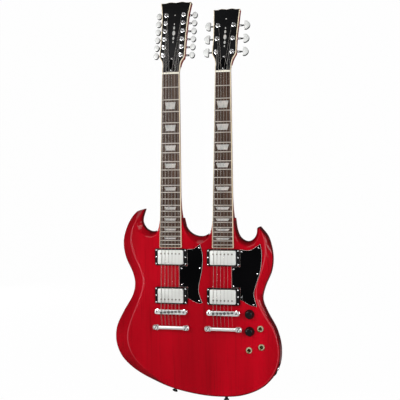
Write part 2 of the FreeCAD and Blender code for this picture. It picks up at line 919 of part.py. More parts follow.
def marker_solids(neck):
    """The trapezoid inlays of one board, flush with its face."""
    solids = []
    for fret in MARKED_FRETS:
        low = fret_distance(fret)
        high = fret_distance(fret - 1)
        length_share = MARKER_LENGTH_SHARE - MARKER_LENGTH_LOSS_SHARE * (fret - MARKED_FRETS[0])
        reach = (high - low) * length_share / 2
        middle = (high + low) / 2
        width = 2 * neck.half_width(middle)
        wide = width * MARKER_WIDE_SHARE[neck.name] / 2
        narrow = width * MARKER_NARROW_SHARE[neck.name] / 2
        corners = [
            vec(-narrow, BOARD_FACE, middle - reach),
            vec(narrow, BOARD_FACE, middle - reach),
            vec(wide, BOARD_FACE, middle + reach),
            vec(-wide, BOARD_FACE, middle + reach),
        ]
        solids.append(extruded(corners, vec(0, size("marker_depth"), 0)))
    return solids


def fret_solids(neck):
    """The frets of one board, each following the crowned face."""
    height = float(size("fret_height"))
    half = float(size("fret_width")) / 2
    solids = []
    for fret in range(1, FRET_COUNT + 1):
        distance = fret_distance(fret)
        reach = neck.half_width(distance) - FRET_END_SHARE * float(size("binding_width"))
        places = crown_places(reach)
        top = [vec(x, BOARD_FACE - height + crown_drop(x), distance - half) for x in places]
        base = [vec(x, BOARD_FACE + crown_drop(x), distance - half) for x in reversed(places)]
        solids.append(extruded(top + base, vec(0, 0, 2 * half)))
    return solids


def nut_solid(neck):
    """The nut, crowned alongside the board and seated behind its end."""
    low = float(size("scale_length"))
    high = low + float(size("nut_thickness"))
    half_width = neck.half_width(low)
    rise = float(size("nut_rise"))
    return crowned_prism(half_width, rise, rise + float(size("board_thickness")), low, high)


# Strings: each runs from the tailpiece over its saddle and nut to its post

STRING_SIDES = 4


def string_places(neck):
    """Course's place on the bridge, shift from it, place on the nut, radius, post, course."""
    courses = SIX.strings
    bridge_span = float(size("string_span"))
    nut_span = float(size("string_span_at_nut_" + neck.name))
    thick = float(size("thick_string_radius"))
    thin = float(size("thin_string_radius"))
    pair = float(size("pair_spacing")) if neck is TWELVE else 0.0
    posts = post_places(neck)
    rows = neck.strings // 2
    places = []
    for course in range(courses):
        share = course / (courses - 1)
        radius = thick + (thin - thick) * share
        radii = (float(size("octave_string_radius")), radius) if pair else (radius,)
        for member, string_radius in enumerate(radii):
            shift = (member - (len(radii) - 1) / 2) * pair
            number = len(places)
            post = posts[number] if number < rows else posts[rows + neck.strings - 1 - number]
            places.append(
                (
                    (share - 1 / 2) * bridge_span,
                    shift,
                    (share - 1 / 2) * nut_span + shift,
                    string_radius,
                    post,
                    course,
                )
            )
    return places


def saddle_distance(course):
    """How far behind the saddle line a course crosses its saddle."""
    courses = SIX.strings
    half = float(size("intonation")) / 2
    return -float(size("bridge_drop")) + half * (1 - 2 * (courses - 1 - course) / (courses - 1))


def string_path(neck, place):
    """A string's way from the tailpiece over its saddle and nut to its post."""
    course_x, shift, nut_x, radius, post, course = place
    rise = float(size("nut_rise"))
    level = BOARD_FACE - rise - radius
    tail_y = FRONT - float(size("tailpiece_lift")) - float(size("tailpiece_depth")) / 2
    tail_z = tailpiece_height() + float(size("tailpiece_width")) / 2
    side, across, along = post
    clearance = float(size("post_radius") + size("post_clearance")) + radius
    post_height = -float(size("post_tip_height"))
    nut_edge = float(size("scale_length") + size("nut_thickness"))
    bridge_x = course_x + shift
    bridge_level = level + crown_drop(course_x)
    saddle_edge = saddle_distance(course) - saddle_land()
    return [
        vec(neck.centre + bridge_x, tail_y, tail_z),
        neck.frame.multVec(vec(bridge_x, bridge_level, saddle_edge)),
        neck.frame.multVec(vec(nut_x, level + crown_drop(nut_x), nut_edge)),
        neck.head_frame.multVec(vec(across - side * clearance, post_height, along)),
    ]


def string_solid(neck, place):
    """One string in the guitar's frame."""
    radius = place[3]
    path = string_path(neck, place)
    turn = FreeCAD.Rotation(vec(0, 0, 1), path[1] - path[0])
    ring = []
    for step in range(STRING_SIDES):
        angle = 2 * math.pi * step / STRING_SIDES
        ring.append(vec(radius * math.cos(angle), radius * math.sin(angle), 0))
    section = Part.makePolygon(ring + ring[:1])
    section = moved(section, FreeCAD.Placement(path[0], turn))
    spine = Part.makePolygon(path)
    shell = Part.BRepOffsetAPI.MakePipeShell(Part.Wire(spine.Edges))
    shell.setTransitionMode(1)
    shell.add(section)
    shell.build()
    shell.makeSolid()
    return shell.shape()


# Tuning machines: posts, housings behind the heads, and buttons on their shafts

POST_SIDES = 10
SHAFT_SIDES = 8
BUTTON_SIDES = 12
# Where the flat side of a half-round button lies, as a share of half its length
BUTTON_FLAT_SHARE = -0.25


def bound_rod(name, radius, height, sides, placement):
    """A flat-sided rod and the slice that makes one side round, both bound to the sheet."""
    rod = DOC.addObject("Part::Prism", name + "_sides")
    rod.Polygon = sides
    rod.setExpression("Circumradius", radius.text)
    side = DOC.addObject("Part::Cylinder", name + "_round_side")
    side.Angle = 360 / sides
    side.setExpression("Radius", radius.text)
    for made in (rod, side):
        made.setExpression("Height", height.text)
        made.Placement = placement
    return [rod, side]


def joined(label, pieces):
    """One solid from several pieces of the document."""
    made = DOC.addObject("Part::MultiFuse", label)
    made.Shapes = pieces
    made.Refine = True
    return keep(made, label)


def make_posts(neck, tag):
    """The string posts of one head; each turns in its own hole."""
    reach = size("post_rise") + size("head_thickness") + size("post_depth")
    for number, (_, across, along) in enumerate(post_places(neck), start=1):
        label = "string_post_%s_%02d" % (tag, number)
        front = vec(across, -float(size("post_rise")), along)
        placement = neck.head_frame.multiply(spot(front, vec(1, 0, 0), -90))
        joined(label, bound_rod(label, size("post_radius"), reach, POST_SIDES, placement))


def button_corners(neck):
    """Outline of a button: oval on one head, round with one flat side on the other."""
    half_length = neck.button_length / 2
    corners = []
    for step in range(BUTTON_SIDES):
        angle = 2 * math.pi * (step + 1 / 2) / BUTTON_SIDES
        along = half_length * math.sin(angle)
        if neck is TWELVE:
            out = neck.button_width / 2 * math.cos(angle)
        else:
            out = half_length * max(math.cos(angle), BUTTON_FLAT_SHARE)
        corners.append((out, along))
    return corners


def button_frame(neck, place):
    """Frame of a button: its X points out along the shaft and its Z to the back."""
    side, _, along = place
    base = vec(
        side * float(neck.button_centre),
        float(size("head_thickness") + size("shaft_depth")),
        along + float(size("worm_offset")),
    )
    turned = spot(base, vec(1, 0, 0), -90)
    return neck.head_frame.multiply(turned.multiply(spot(vec(0, 0, 0), None, 90 - 90 * side)))


def make_buttons(neck, tag):
    """The tuning buttons of one head, each in one piece with its worm shaft."""
    thickness = size("button_thickness")
    reach = neck.button_centre - neck.post_offset + size("shaft_past_post")
    for number, place in enumerate(post_places(neck), start=1):
        label = "tuner_button_%s_%02d" % (tag, number)
        frame = button_frame(neck, place)
        grip_spot = frame.multiply(spot(vec(0, 0, -float(thickness) / 2)))
        grip = padded_body(label + "_grip", button_corners(neck), thickness, grip_spot)
        shaft_spot = frame.multiply(spot(vec(-float(reach), 0, 0), vec(0, 1, 0), 90))
        shaft = bound_rod(label + "_shaft", size("shaft_radius"), reach, SHAFT_SIDES, shaft_spot)
        joined(label, [grip] + shaft)


def housing_solid(neck, place):
    """A folded metal cup behind the head that holds the worm and the post's gear."""
    side, across, along = place
    wall = float(size("housing_wall"))
    half_length = float(size("housing_length")) / 2
    half_width = float(size("housing_width")) / 2
    back = float(size("head_thickness"))
    floor = back + float(size("housing_depth"))
    shaft_z = along + float(size("worm_offset"))
    middle = (along + shaft_z) / 2
    gap = float(size("shaft_radius") + size("shaft_clearance"))
    outer = box(
        (across - half_width, across + half_width),
        (back, floor),
        (middle - half_length, middle + half_length),
    )
    inner = box(
        (across - half_width + wall, across + half_width - wall),
        (back, floor - wall),
        (middle - half_length + wall, middle + half_length - wall),
    )
    notch = box(
        sorted((across, across + side * 2 * half_width)),
        (back, back + size("shaft_depth") + gap),
        (shaft_z - gap, shaft_z + gap),
    )
    return moved(outer.cut(inner).cut(notch), neck.head_frame)


# Pickups, their rings and the cavities below them

def pickup_places():
    """Centre, height on the body, cover's rise and ring's rise of each pickup."""
    board_end = saddle_height() + BOARD_END * math.cos(math.radians(size("neck_angle_deg")))
    near_neck = board_end - float(size("neck_ring_gap") + size("ring_width") / 2)
    near_bridge = saddle_height() + float(size("bridge_pickup_distance"))
    places = []
    for neck in NECKS:
        for name, height in (("neck", near_neck), ("bridge", near_bridge)):
            rises = [float(size(name + part)) for part in ("_cover_rise", "_ring_rise")]
            places.append((neck.centre, height, *rises))
    return places


def pickup_solids(place):
    """Cover, two coils and base plate of one pickup."""
    x, z, rise, _ = place
    length = float(size("cover_length"))
    width = float(size("cover_width"))
    wall = float(size("cover_wall"))
    plate = float(size("baseplate_thickness"))
    top = FRONT - rise
    base = top + wall + float(size("coil_height"))
    inside_length = length - 2 * wall
    inside_width = width - 2 * wall
    cover = cornered_block(length, width, size("cover_corner"), top, base, x, z)
    hollow = cornered_block(inside_length, inside_width, 0, top + wall, base, x, z)
    coil_width = (inside_width - wall) / 2
    coils = []
    for side in (-1, 1):
        middle = z + side * (coil_width + wall) / 2
        coils.append(
            cornered_block(size("coil_length"), coil_width, 0, top + wall, base, x, middle)
        )
    base_plate = cornered_block(length, width, 0, base, base + plate, x, z)
    return [cover.cut(hollow), base_plate] + coils


def ring_solid(place):
    """The raised frame round one pickup."""
    x, z, _, rise = place
    clearance = 2 * float(size("cover_clearance"))
    top = FRONT - rise
    length = size("cover_length") + clearance
    width = size("cover_width") + clearance
    corner = size("ring_corner")
    outer = cornered_block(size("ring_length"), size("ring_width"), corner, top, FRONT, x, z)
    return outer.cut(cornered_block(length, width, 0, top, FRONT, x, z))


def pickup_cavity(place):
    """The pocket in the body below one pickup."""
    x, z, _, _ = place
    margin = 2 * float(size("cavity_margin"))
    low = FRONT - float(size("overrun"))
    high = FRONT + float(size("cavity_depth"))
    length = size("cover_length") + margin
    return cornered_block(length, size("cover_width") + margin, 0, low, high, x, z)


# Bridges: a channelled bar on two posts with thumb wheels, and six saddles

# A saddle's base is this share of its depth on either side of its crest
SADDLE_CREST_SHARE = 0.12
# The flat sides of the bar's round ends lie at this share of their corners' radius
BRIDGE_END_SHARE = math.cos(math.pi / SMALL_SIDES)


def bridge_middle():
    """Height of the bridge's middle on the body."""
    return saddle_height() - float(size("bridge_drop"))


def bridge_solids(neck):
    """Bar, saddles and posts of one bridge."""
    middle = bridge_middle()
    half_length = float(size("bridge_length")) / 2
    half_width = float(size("bridge_width")) / 2
    half_channel = float(size("channel_length")) / 2
    half_channel_width = float(size("channel_width")) / 2
    back = FRONT - float(size("bridge_lift"))
    front = back - float(size("bridge_base_height"))
    floor = front + float(size("channel_depth"))
    x = neck.centre
    end = half_length - half_width
    bar = box((x - end, x + end), (front, back), (middle - half_width, middle + half_width))
    for side in (-1, 1):
        start = vec(x + side * end, front, middle)
        bar = bar.fuse(prism(half_width / BRIDGE_END_SHARE, back - front, start, vec(0, 1, 0)))
    channel = box(
        (x - half_channel, x + half_channel),
        (front - size("overrun"), floor),
        (middle - half_channel_width, middle + half_channel_width),
    )
    solids = [bar.cut(channel)]
    solids += [saddle_solid(neck, course, floor) for course in range(SIX.strings)]
    shank = post_sink() + float(size("bridge_lift") - size("wheel_thickness"))
    steps = (
        (size("bridge_post_radius"), shank, HIDDEN_SIDES),
        (size("wheel_radius"), size("wheel_thickness")),
    )
    for side in (-1, 1):
        start = vec(x + side * float(size("bridge_post_span")) / 2, FRONT + post_sink(), middle)
        solids.append(stacked(steps, start, vec(0, -1, 0)))
    return solids


def post_sink():
    """How deep the posts and studs stand in the body."""
    return float(size("post_seat_depth"))


def saddle_solid(neck, course, floor):
    """A saddle: a wedge whose crest carries one course of strings."""
    half_width = float(size("saddle_width")) / 2
    half_depth = float(size("saddle_depth")) / 2
    land = neck.frame.Rotation.multVec(vec(0, 0, saddle_land()))
    share = course / (SIX.strings - 1) - 1 / 2
    x = share * float(size("string_span"))
    level = BOARD_FACE - float(size("nut_rise")) + crown_drop(x)
    crest = neck.frame.multVec(vec(x, level, saddle_distance(course)))
    base_z = min(max(crest.z, bridge_middle() - saddle_play()), bridge_middle() + saddle_play())
    profile = [
        vec(crest.x - half_width, floor, base_z - half_depth),
        vec(crest.x - half_width, floor, base_z + half_depth),
        crest + land - vec(half_width, 0, 0),
        crest - land - vec(half_width, 0, 0),
    ]
    return extruded(profile, vec(2 * half_width, 0, 0))


def saddle_land():
    """Half length of the flat crest that a course rests on."""
    return float(size("saddle_depth")) * SADDLE_CREST_SHARE


def saddle_play():
    """How far a saddle's foot can stand off the middle of the channel."""
    return float(size("channel_width") - size("saddle_depth")) / 2


# Tailpieces: a bar hung on two studs

# Profile of the bar, as shares of its depth off the body and of half its width
TAILPIECE_SHARES = (
    (0.0, -0.80),
    (0.0, 0.80),
    (0.25, 1.00),
    (0.75, 1.00),
    (1.0, 0.55),
    (1.0, -0.55),
    (0.75, -1.00),
    (0.25, -1.00),
)


def tailpiece_height():
    """Height of the tailpieces' middle on the body."""
    return saddle_height() - float(size("tailpiece_distance"))


def stud_places(neck):
    """Places of a tailpiece's two studs."""
    half_span = float(size("stud_span")) / 2
    return [(neck.centre + side * half_span, tailpiece_height()) for side in (-1, 1)]


def tailpiece_solids(neck):
    """The bar and its two studs."""
    half_length = float(size("tailpiece_length")) / 2
    half_width = float(size("tailpiece_width")) / 2
    depth = float(size("tailpiece_depth"))
    back = FRONT - float(size("tailpiece_lift"))
    middle = tailpiece_height()
    start_x = neck.centre - half_length
    profile = [vec(start_x, back - d * depth, middle + w * half_width) for d, w in TAILPIECE_SHARES]
    bar = extruded(profile, vec(2 * half_length, 0, 0))
    overrun = float(size("overrun"))
    hole_radius = float(size("stud_radius") + size("stud_clearance")) / HIDDEN_FLAT_SHARE
    outward = vec(0, -1, 0)
    solids = []
    for x, z in stud_places(neck):
        start = vec(x, back + overrun, z)
        bar = bar.cut(prism(hole_radius, depth + 2 * overrun, start, outward, HIDDEN_SIDES))
        steps = (
            (size("stud_radius"), post_sink(), HIDDEN_SIDES),
            (size("stud_head_radius"), size("tailpiece_lift"), HIDDEN_SIDES),
            (size("stud_radius"), depth, HIDDEN_SIDES),
            (size("stud_head_radius"), size("stud_head_height")),
        )
        solids.append(stacked(steps, vec(x, FRONT + post_sink(), z), outward))
    return [bar] + solids


# Pickguards, truss-rod covers and the lid of the control cavity

# Outer edges of the pickguards, as shares like those of the body's edge
LEFT_GUARD_SHARES = (
    (-0.217, 0.783),
    (-0.175, 0.787),
    (-0.138, 0.811),
    (-0.124, 0.763),
    (-0.123, 0.708),
    (-0.131, 0.656),
    (-0.146, 0.592),
    (-0.147, 0.551),
    (-0.127, 0.499),
    (-0.144, 0.495),
    (-0.182, 0.507),
    (-0.217, 0.525),
)
RIGHT_GUARD_SHARES = (
    (0.096, 0.785),
    (0.158, 0.782),
    (0.217, 0.815),
    (0.225, 0.775),
    (0.225, 0.730),
    (0.214, 0.666),
    (0.190, 0.598),
    (0.178, 0.551),
    (0.195, 0.485),
    (0.153, 0.493),
    (0.096, 0.525),
)
# How far each guard reaches below the strings, as a share of the pickup cover's length
GUARD_INNER_SHARE = 0.32
# Corners of the control cavity
CAVITY_SHARES = (
    (0.1094, 0.2113),
    (0.2538, 0.2113),
    (0.2538, 0.3602),
    (0.1926, 0.4809),
    (0.1094, 0.4809),
)
# One side of a truss-rod cover: share of its length, then share of half its width
ROD_COVER_SHARES = ((0.0, 0.84), (0.2, 1.0), (0.42, 0.78), (0.7, 0.45), (1.0, 0.16))


def guard_solid(neck, shares):
    """The pickguard beside one neck's pickups, notched round their rings."""
    clearance = float(size("guard_clearance"))
    points = [edge_row(row + row)[0] for row in shares]
    outline = [vec(x, FRONT, z) for x, z in points]
    inner_x = neck.centre + GUARD_INNER_SHARE * float(size("cover_length"))
    edges = through(outline)
    corners = [outline[-1], vec(inner_x, FRONT, outline[-1].z), vec(inner_x, FRONT, outline[0].z)]
    corners.append(outline[0])
    edges += [Part.LineSegment(a, b).toShape() for a, b in zip(corners, corners[1:])]
    face = Part.Face(Part.Wire(edges))
    guard = face.extrude(vec(0, -float(size("guard_thickness")), 0))
    length = size("ring_length") + 2 * clearance
    width = size("ring_width") + 2 * clearance
    for x, z, _, rise in pickup_places():
        if x == neck.centre:
            guard = guard.cut(cornered_block(length, width, 0, FRONT - rise, FRONT, x, z))
    return guard


def rod_cover_solid(neck):
    """The bell-shaped cover over the truss rod's nut."""
    start = float(size("rod_cover_start"))
    length = float(size("rod_cover_length"))
    half_width = float(size("rod_cover_width")) / 2
    right = [vec(w * half_width, 0, start + t * length) for t, w in ROD_COVER_SHARES]
    left = [vec(-point.x, 0, point.z) for point in reversed(right)]
    edges = through(right)
    edges.append(Part.LineSegment(right[-1], left[0]).toShape())
    edges += through(left)
    edges.append(Part.LineSegment(left[-1], right[0]).toShape())
    face = Part.Face(Part.Wire(edges))
    return moved(face.extrude(vec(0, -float(size("guard_thickness")), 0)), neck.head_frame)


def cavity_wire(outset, level):
    """Outline of the control cavity, set out by a distance, at a level."""
    places = [on_body(*shares) for shares in CAVITY_SHARES]
    corners = [vec(x, level, z) for x, z in places]
    wire = Part.makePolygon(corners + corners[:1])
    return wire.makeOffset2D(float(outset), 2) if outset else wire


def cavity_cuts():
    """The control cavity, open at the back, and the recess for its lid."""
    roof = FRONT + float(size("cavity_roof"))
    overrun = float(size("overrun"))
    recess = BACK - float(size("rear_cover_thickness"))
    cavity = Part.Face(cavity_wire(0, roof)).extrude(vec(0, BACK + overrun - roof, 0))
    lid_seat = Part.Face(cavity_wire(size("cavity_lip"), recess))
    return [cavity, lid_seat.extrude(vec(0, BACK + overrun - recess, 0))]


def lid_solid():
    """The lid of the control cavity, flush with the back."""
    recess = BACK - float(size("rear_cover_thickness"))
    outset = size("cavity_lip") - size("rear_cover_clearance")
    return Part.Face(cavity_wire(outset, recess)).extrude(vec(0, size("rear_cover_thickness"), 0))


# Controls: two turning knobs and three tilting switches

KNOB_SIDES = 20
# Places of the volume and tone knobs, then of the three switches
KNOB_SHARES = ((0.1510, 0.4447), (0.1510, 0.3541))
SWITCH_SHARES = ((0.2133, 0.3702), (0.2188, 0.2736), (0.1466, 0.2555))


def control_places():
    """Places of the two knobs and of the three switches on the body's front."""
    knobs = [on_body(*shares) for shares in KNOB_SHARES]
    return knobs, [on_body(*shares) for shares in SWITCH_SHARES]


def pot_solid(place):
    """A potentiometer below the body's front, with its bushing through the wood."""
    x, z = place
    outward = vec(0, -1, 0)
    roof = size("cavity_roof")
    height = size("pot_height")
    start = vec(x, FRONT + float(roof + height), z)
    steps = ((size("pot_radius"), height), (size("pot_bushing_radius"), roof))
    pot = stacked(steps, start, outward, HIDDEN_SIDES)
    clearance = size("control_clearance")
    bore_depth = roof + size("pot_shaft_depth") + clearance
    bore = vec(x, FRONT + float(bore_depth), z)
    return pot.cut(
        prism(
            float(size("pot_shaft_radius") + clearance),
            float(bore_depth + size("overrun")),
            bore,
            outward,
        )
    )


def knob_solid(place):
    """A top-hat knob with the shaft that it turns."""
    x, z = place
    depth = size("cavity_roof") + size("pot_shaft_depth")
    steps = (
        (size("pot_shaft_radius"), depth + size("knob_gap")),
        (size("knob_radius"), size("knob_skirt")),
        (size("knob_top_radius"), size("knob_height") - size("knob_skirt")),
    )
    start = vec(x, FRONT + float(depth), z)
    solid = None
    for index, (radius, length) in enumerate(steps):
        sides = KNOB_SIDES if index else SMALL_SIDES
        piece = pivoted(radius, length, start, vec(0, -1, 0), sides)
        solid = piece if solid is None else solid.fuse(piece)
        start = start + vec(0, -float(length), 0)
    return solid


def switch_solid(place):
    """A toggle switch's box, bushing and ring nut, bored for its lever."""
    x, z = place
    outward = vec(0, -1, 0)
    roof = float(size("cavity_roof"))
    half_length = float(size("switch_box_length")) / 2
    half_width = float(size("switch_box_width")) / 2
    level = FRONT + roof
    housing = box(
        (x - half_width, x + half_width),
        (level, level + size("switch_box_height")),
        (z - half_length, z + half_length),
    )
    collar = stacked(
        (
            (size("switch_bushing_radius"), roof, HIDDEN_SIDES),
            (size("switch_nut_radius"), size("switch_nut_height")),
        ),
        vec(x, level, z),
        outward,
    )
    depth = float(size("switch_bore_depth"))
    reach = depth + float(size("switch_nut_height") + size("overrun"))
    bore = prism(float(size("switch_mouth_radius")), reach, vec(x, FRONT + depth, z), outward)
    return housing.fuse(collar).cut(bore)


def lever_pivot(place):
    """The point that a switch's lever tilts about."""
    x, z = place
    return vec(x, FRONT + float(size("lever_pivot_depth")), z)


def lever_solid(place):
    """A lever: a barrel across its pivot, a rod and a grip, tilted down at rest."""
    tilt = math.radians(size("lever_tilt_deg"))
    outward = vec(0, -math.cos(tilt), -math.sin(tilt))
    length = float(size("lever_barrel_length"))
    pivot = lever_pivot(place)
    barrel_start = pivot - vec(length / 2, 0, 0)
    barrel = pivoted(size("lever_barrel_radius"), length, barrel_start, vec(1, 0, 0), HIDDEN_SIDES)
    steps = (
        (size("lever_radius"), size("lever_rod_length")),
        (size("lever_tip_radius"), size("lever_tip_length")),
    )
    return barrel.fuse(stacked(steps, pivot, outward, HIDDEN_SIDES))


# Output jack on the lower right edge

JACK_SHARES = (0.3009, 0.1590)


def jack_frame():
    """Frame of the jack: its Z points out of the body's edge."""
    x, z = on_body(*JACK_SHARES)
    return spot(vec(x, 0, z), vec(0, 1, 0), 90 + float(size("jack_turn_deg")))


def jack_solids():
    """The oblong plate, and the bored sleeve with its nut."""
    half_length = float(size("jack_plate_length")) / 2
    half_width = float(size("jack_plate_width")) / 2
    thickness = float(size("jack_plate_thickness"))
    length = float(size("jack_sleeve_length"))
    overrun = float(size("overrun"))
    outward = vec(0, 0, 1)
    plate = box((-half_length, half_length), (-half_width, half_width), (0, thickness))
    plate = plate.cut(prism(float(size("jack_sleeve_radius")), thickness, vec(0, 0, 0), outward))
    sleeve = stacked(
        (
            (size("jack_sleeve_radius"), length),
            (size("jack_nut_radius"), size("jack_nut_height")),
        ),
        vec(0, 0, thickness - length),
        outward,
    )
    reach = length + float(size("jack_nut_height")) + 2 * overrun
    bore = drilled(size("jack_bore_radius"), vec(0, 0, thickness - length - overrun), outward, reach)
    return [moved(plate, jack_frame()), moved(sleeve.cut(bore), jack_frame())]


def jack_cuts():
    """The flat that the plate lies on, and the hole for the sleeve."""
    clearance = float(size("rear_cover_clearance"))
    half_length = float(size("jack_plate_length")) / 2 + clearance
    half_width = float(size("jack_plate_width")) / 2 + clearance
    depth = float(size("jack_hole_depth"))
    flat = box((-half_length, half_length), (-half_width, half_width), (0, depth))
    hole = prism(float(size("jack_hole_radius")), 2 * depth, vec(0, 0, -depth), vec(0, 0, 1))
    return [moved(flat, jack_frame()), moved(hole, jack_frame())]


# Strap buttons

SIDE_BUTTON_SHARES = (-0.3042, 0.0332)


def strap_places():
    """Seat and outward direction of the tail button and of the side button."""
    turn = math.radians(size("side_button_turn_deg"))
    tail = (vec(0, 0, size("tail_button_height")), vec(0, 0, -1))
    x, z = on_body(*SIDE_BUTTON_SHARES)
    return [tail, (vec(x, 0, z), vec(-math.sin(turn), 0, -math.cos(turn)))]


def strap_solid(place):
    """One strap button: a foot, a waist and a wide head."""
    seat, outward = place
    waist = size("tail_button_height") - size("strap_foot_height") - size("strap_head_height")
    steps = (
        (size("strap_foot_radius"), size("strap_foot_height")),
        (size("strap_neck_radius"), waist),
        (size("strap_head_radius"), size("strap_head_height")),
    )
    return stacked(steps, seat, outward)


def strap_seat_cut(place):
    """The flat spot that a strap button's foot stands on."""
    seat, outward = place
    return prism(float(size("strap_foot_radius")), float(size("tail_button_height")), seat, outward)


# The body with everything that it receives cut from it

def body_solid(necks_made):
    """The blank, cut for the necks, pickups, controls, bridges, studs and jack."""
    solid = body_blank()
    for neck, made in zip(NECKS, necks_made):
        solid = solid.cut(made)
        for piece in (board_blank(neck, 0.0), rod_solid()):
            solid = solid.cut(moved(piece, neck.frame))
    cuts = [pickup_cavity(place) for place in pickup_places()]
    cuts += cavity_cuts() + jack_cuts()
    cuts += [strap_seat_cut(place) for place in strap_places()]
    knobs, switches = control_places()
    outward = vec(0, -1, 0)
    overrun = float(size("overrun"))
    reach = float(size("cavity_roof")) + 2 * overrun
    level = FRONT + float(size("cavity_roof")) + overrun
    for radius, places in (("pot_bushing_radius", knobs), ("switch_bushing_radius", switches)):
        for x, z in places:
            cuts.append(prism(size(radius), reach, vec(x, level, z), outward, HIDDEN_SIDES))
    half_span = float(size("bridge_post_span")) / 2
    sink = vec(0, post_sink(), 0)
    for neck in NECKS:
        posts = [(neck.centre + side * half_span, bridge_middle()) for side in (-1, 1)]
        holes = [(size("bridge_post_radius"), x, z) for x, z in posts]
        holes += [(size("stud_radius"), x, z) for x, z in stud_places(neck)]
        for radius, x, z in holes:
            start = vec(x, FRONT, z) + sink
            cuts.append(prism(radius, post_sink() + overrun, start, outward, HIDDEN_SIDES))
    for cut in cuts:
        solid = solid.cut(cut)
    return solid


# Build every sub-part

necks = [neck_solid(neck) for neck in NECKS]
keep_group("body", [body_solid(necks)])
for neck, made in zip(NECKS, necks):
    tag = "12" if neck is TWELVE else "6"
    keep_group("neck_" + tag, [made])
    make_posts(neck, tag)
    make_buttons(neck, tag)

boards = []
bindings = []
frets = []
markers = []
nuts = []
rods = []
housings = []
strings = []
bridges = []
tailpieces = []
for neck in NECKS:
    inlays = marker_solids(neck)
    board = board_blank(neck, float(size("binding_width")))
    edging = board_blank(neck, 0.0).cut(board)
    for inlay in inlays:
        board = board.cut(inlay)
    boards.append(moved(board, neck.frame))
    bindings += [moved(piece, neck.frame) for piece in edging.Solids]
    frets += [moved(piece, neck.frame) for piece in fret_solids(neck)]
    markers += [moved(piece, neck.frame) for piece in inlays]
    nuts.append(moved(nut_solid(neck), neck.frame))
    rods.append(moved(rod_solid(), neck.frame))
    housings += [housing_solid(neck, place) for place in post_places(neck)]
    strings += [string_solid(neck, place) for place in string_places(neck)]
    bridges += bridge_solids(neck)
    tailpieces += tailpiece_solids(neck)

keep_group("fingerboards", boards)
keep_group("board_bindings", bindings)
keep_group("frets", frets)
keep_group("fret_markers", markers)
keep_group("string_nuts", nuts)
keep_group("truss_rods", rods)
keep_group("tuner_housings", housings)
keep_group("strings", strings)
keep_group("bridges", bridges)
keep_group("tailpieces", tailpieces)
keep_group("pickups", [piece for place in pickup_places() for piece in pickup_solids(place)])
keep_group("pickup_rings", [ring_solid(place) for place in pickup_places()])
covers = [guard_solid(TWELVE, LEFT_GUARD_SHARES), guard_solid(SIX, RIGHT_GUARD_SHARES)]
covers += [rod_cover_solid(neck) for neck in NECKS]
keep_group("pickguards_and_covers", covers + [lid_solid()])

knob_places, switch_places = control_places()
controls = [pot_solid(place) for place in knob_places]
keep_group("pots_and_switches", controls + [switch_solid(place) for place in switch_places])
keep_group("volume_knob", [knob_solid(knob_places[0])])
keep_group("tone_knob", [knob_solid(knob_places[1])])
for name, place in zip(("neck_select", "pickup_12", "pickup_6"), switch_places):
    keep_group("toggle_lever_" + name, [lever_solid(place)])
keep_group("output_jack", jack_solids())
keep_group("strap_buttons", [strap_solid(place) for place in strap_places()])

# Check, then write

DOC.recompute()
for item in DOC.Objects:
    if "Invalid" in item.State or "Error" in item.State:
        raise RuntimeError("%s did not build: %s" % (item.Name, item.State))
for node in NODES:
    if node.Shape.isNull() or not node.Shape.isValid() or not node.Shape.Solids:
        raise RuntimeError("%s has no valid shape" % node.Label)

os.makedirs("parts", exist_ok=True)
for node in NODES:
    node.Shape.exportStep(os.path.join("parts", node.Label + ".step"))
print("%d sub-parts written" % len(NODES))
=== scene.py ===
import logging
import math
from collections.abc import Callable, Iterator, Sequence
from contextlib import contextmanager
from dataclasses import dataclass
from enum import Enum

import bpy
from mathutils import Matrix, Vector
from mathutils.kdtree import KDTree


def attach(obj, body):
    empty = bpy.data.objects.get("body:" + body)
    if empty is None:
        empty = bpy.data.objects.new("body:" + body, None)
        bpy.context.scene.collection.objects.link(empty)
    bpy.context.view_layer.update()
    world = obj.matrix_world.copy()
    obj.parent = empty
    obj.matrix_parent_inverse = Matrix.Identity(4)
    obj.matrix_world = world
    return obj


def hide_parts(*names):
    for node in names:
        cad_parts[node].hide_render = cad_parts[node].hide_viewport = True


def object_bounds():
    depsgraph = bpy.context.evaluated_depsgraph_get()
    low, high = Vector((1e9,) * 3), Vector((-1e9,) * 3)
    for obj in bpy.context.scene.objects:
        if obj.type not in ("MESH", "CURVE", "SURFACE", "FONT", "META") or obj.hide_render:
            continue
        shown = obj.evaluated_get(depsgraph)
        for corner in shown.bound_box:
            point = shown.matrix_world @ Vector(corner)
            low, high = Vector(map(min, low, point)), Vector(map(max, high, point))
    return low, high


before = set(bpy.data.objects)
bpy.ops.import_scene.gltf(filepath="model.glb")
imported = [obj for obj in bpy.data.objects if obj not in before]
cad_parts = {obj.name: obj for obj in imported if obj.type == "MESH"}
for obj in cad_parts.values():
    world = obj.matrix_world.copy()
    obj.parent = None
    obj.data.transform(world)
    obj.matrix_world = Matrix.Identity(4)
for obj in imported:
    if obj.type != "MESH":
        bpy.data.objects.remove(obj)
LOG = logging.getLogger("guitar")
CAD_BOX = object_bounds()

# Pieces are modelled in millimetres and set in place in metres
MM = 0.001
FRONT = -18.0
BACK = 18.0
BODY_WIDTH = 457.0
BODY_LENGTH = 497.0
BODY_FLOOR = 11.0
SADDLE_LINE = 236.986
SCALE = 628.65
NUT_THICKNESS = 5.0
# The outer strings' distance at the bridge
STRING_SPREAD = 50.5
BOARD_FACE = 2.6
STRING_LEVEL = BOARD_FACE - 2.0
BOARD_BACK = 8.6
BOARD_END = 169.41
BOARD_RADIUS = 305.0
NECK_ANGLE = math.radians(-2.5)
HEAD_ANGLE = math.radians(-14.0)
# Where a tuner's shaft runs, behind the head's face and past its post
WORM_DEPTH = 18.6
WORM_OFFSET = 6.0
BODY_NAME = "guitar"
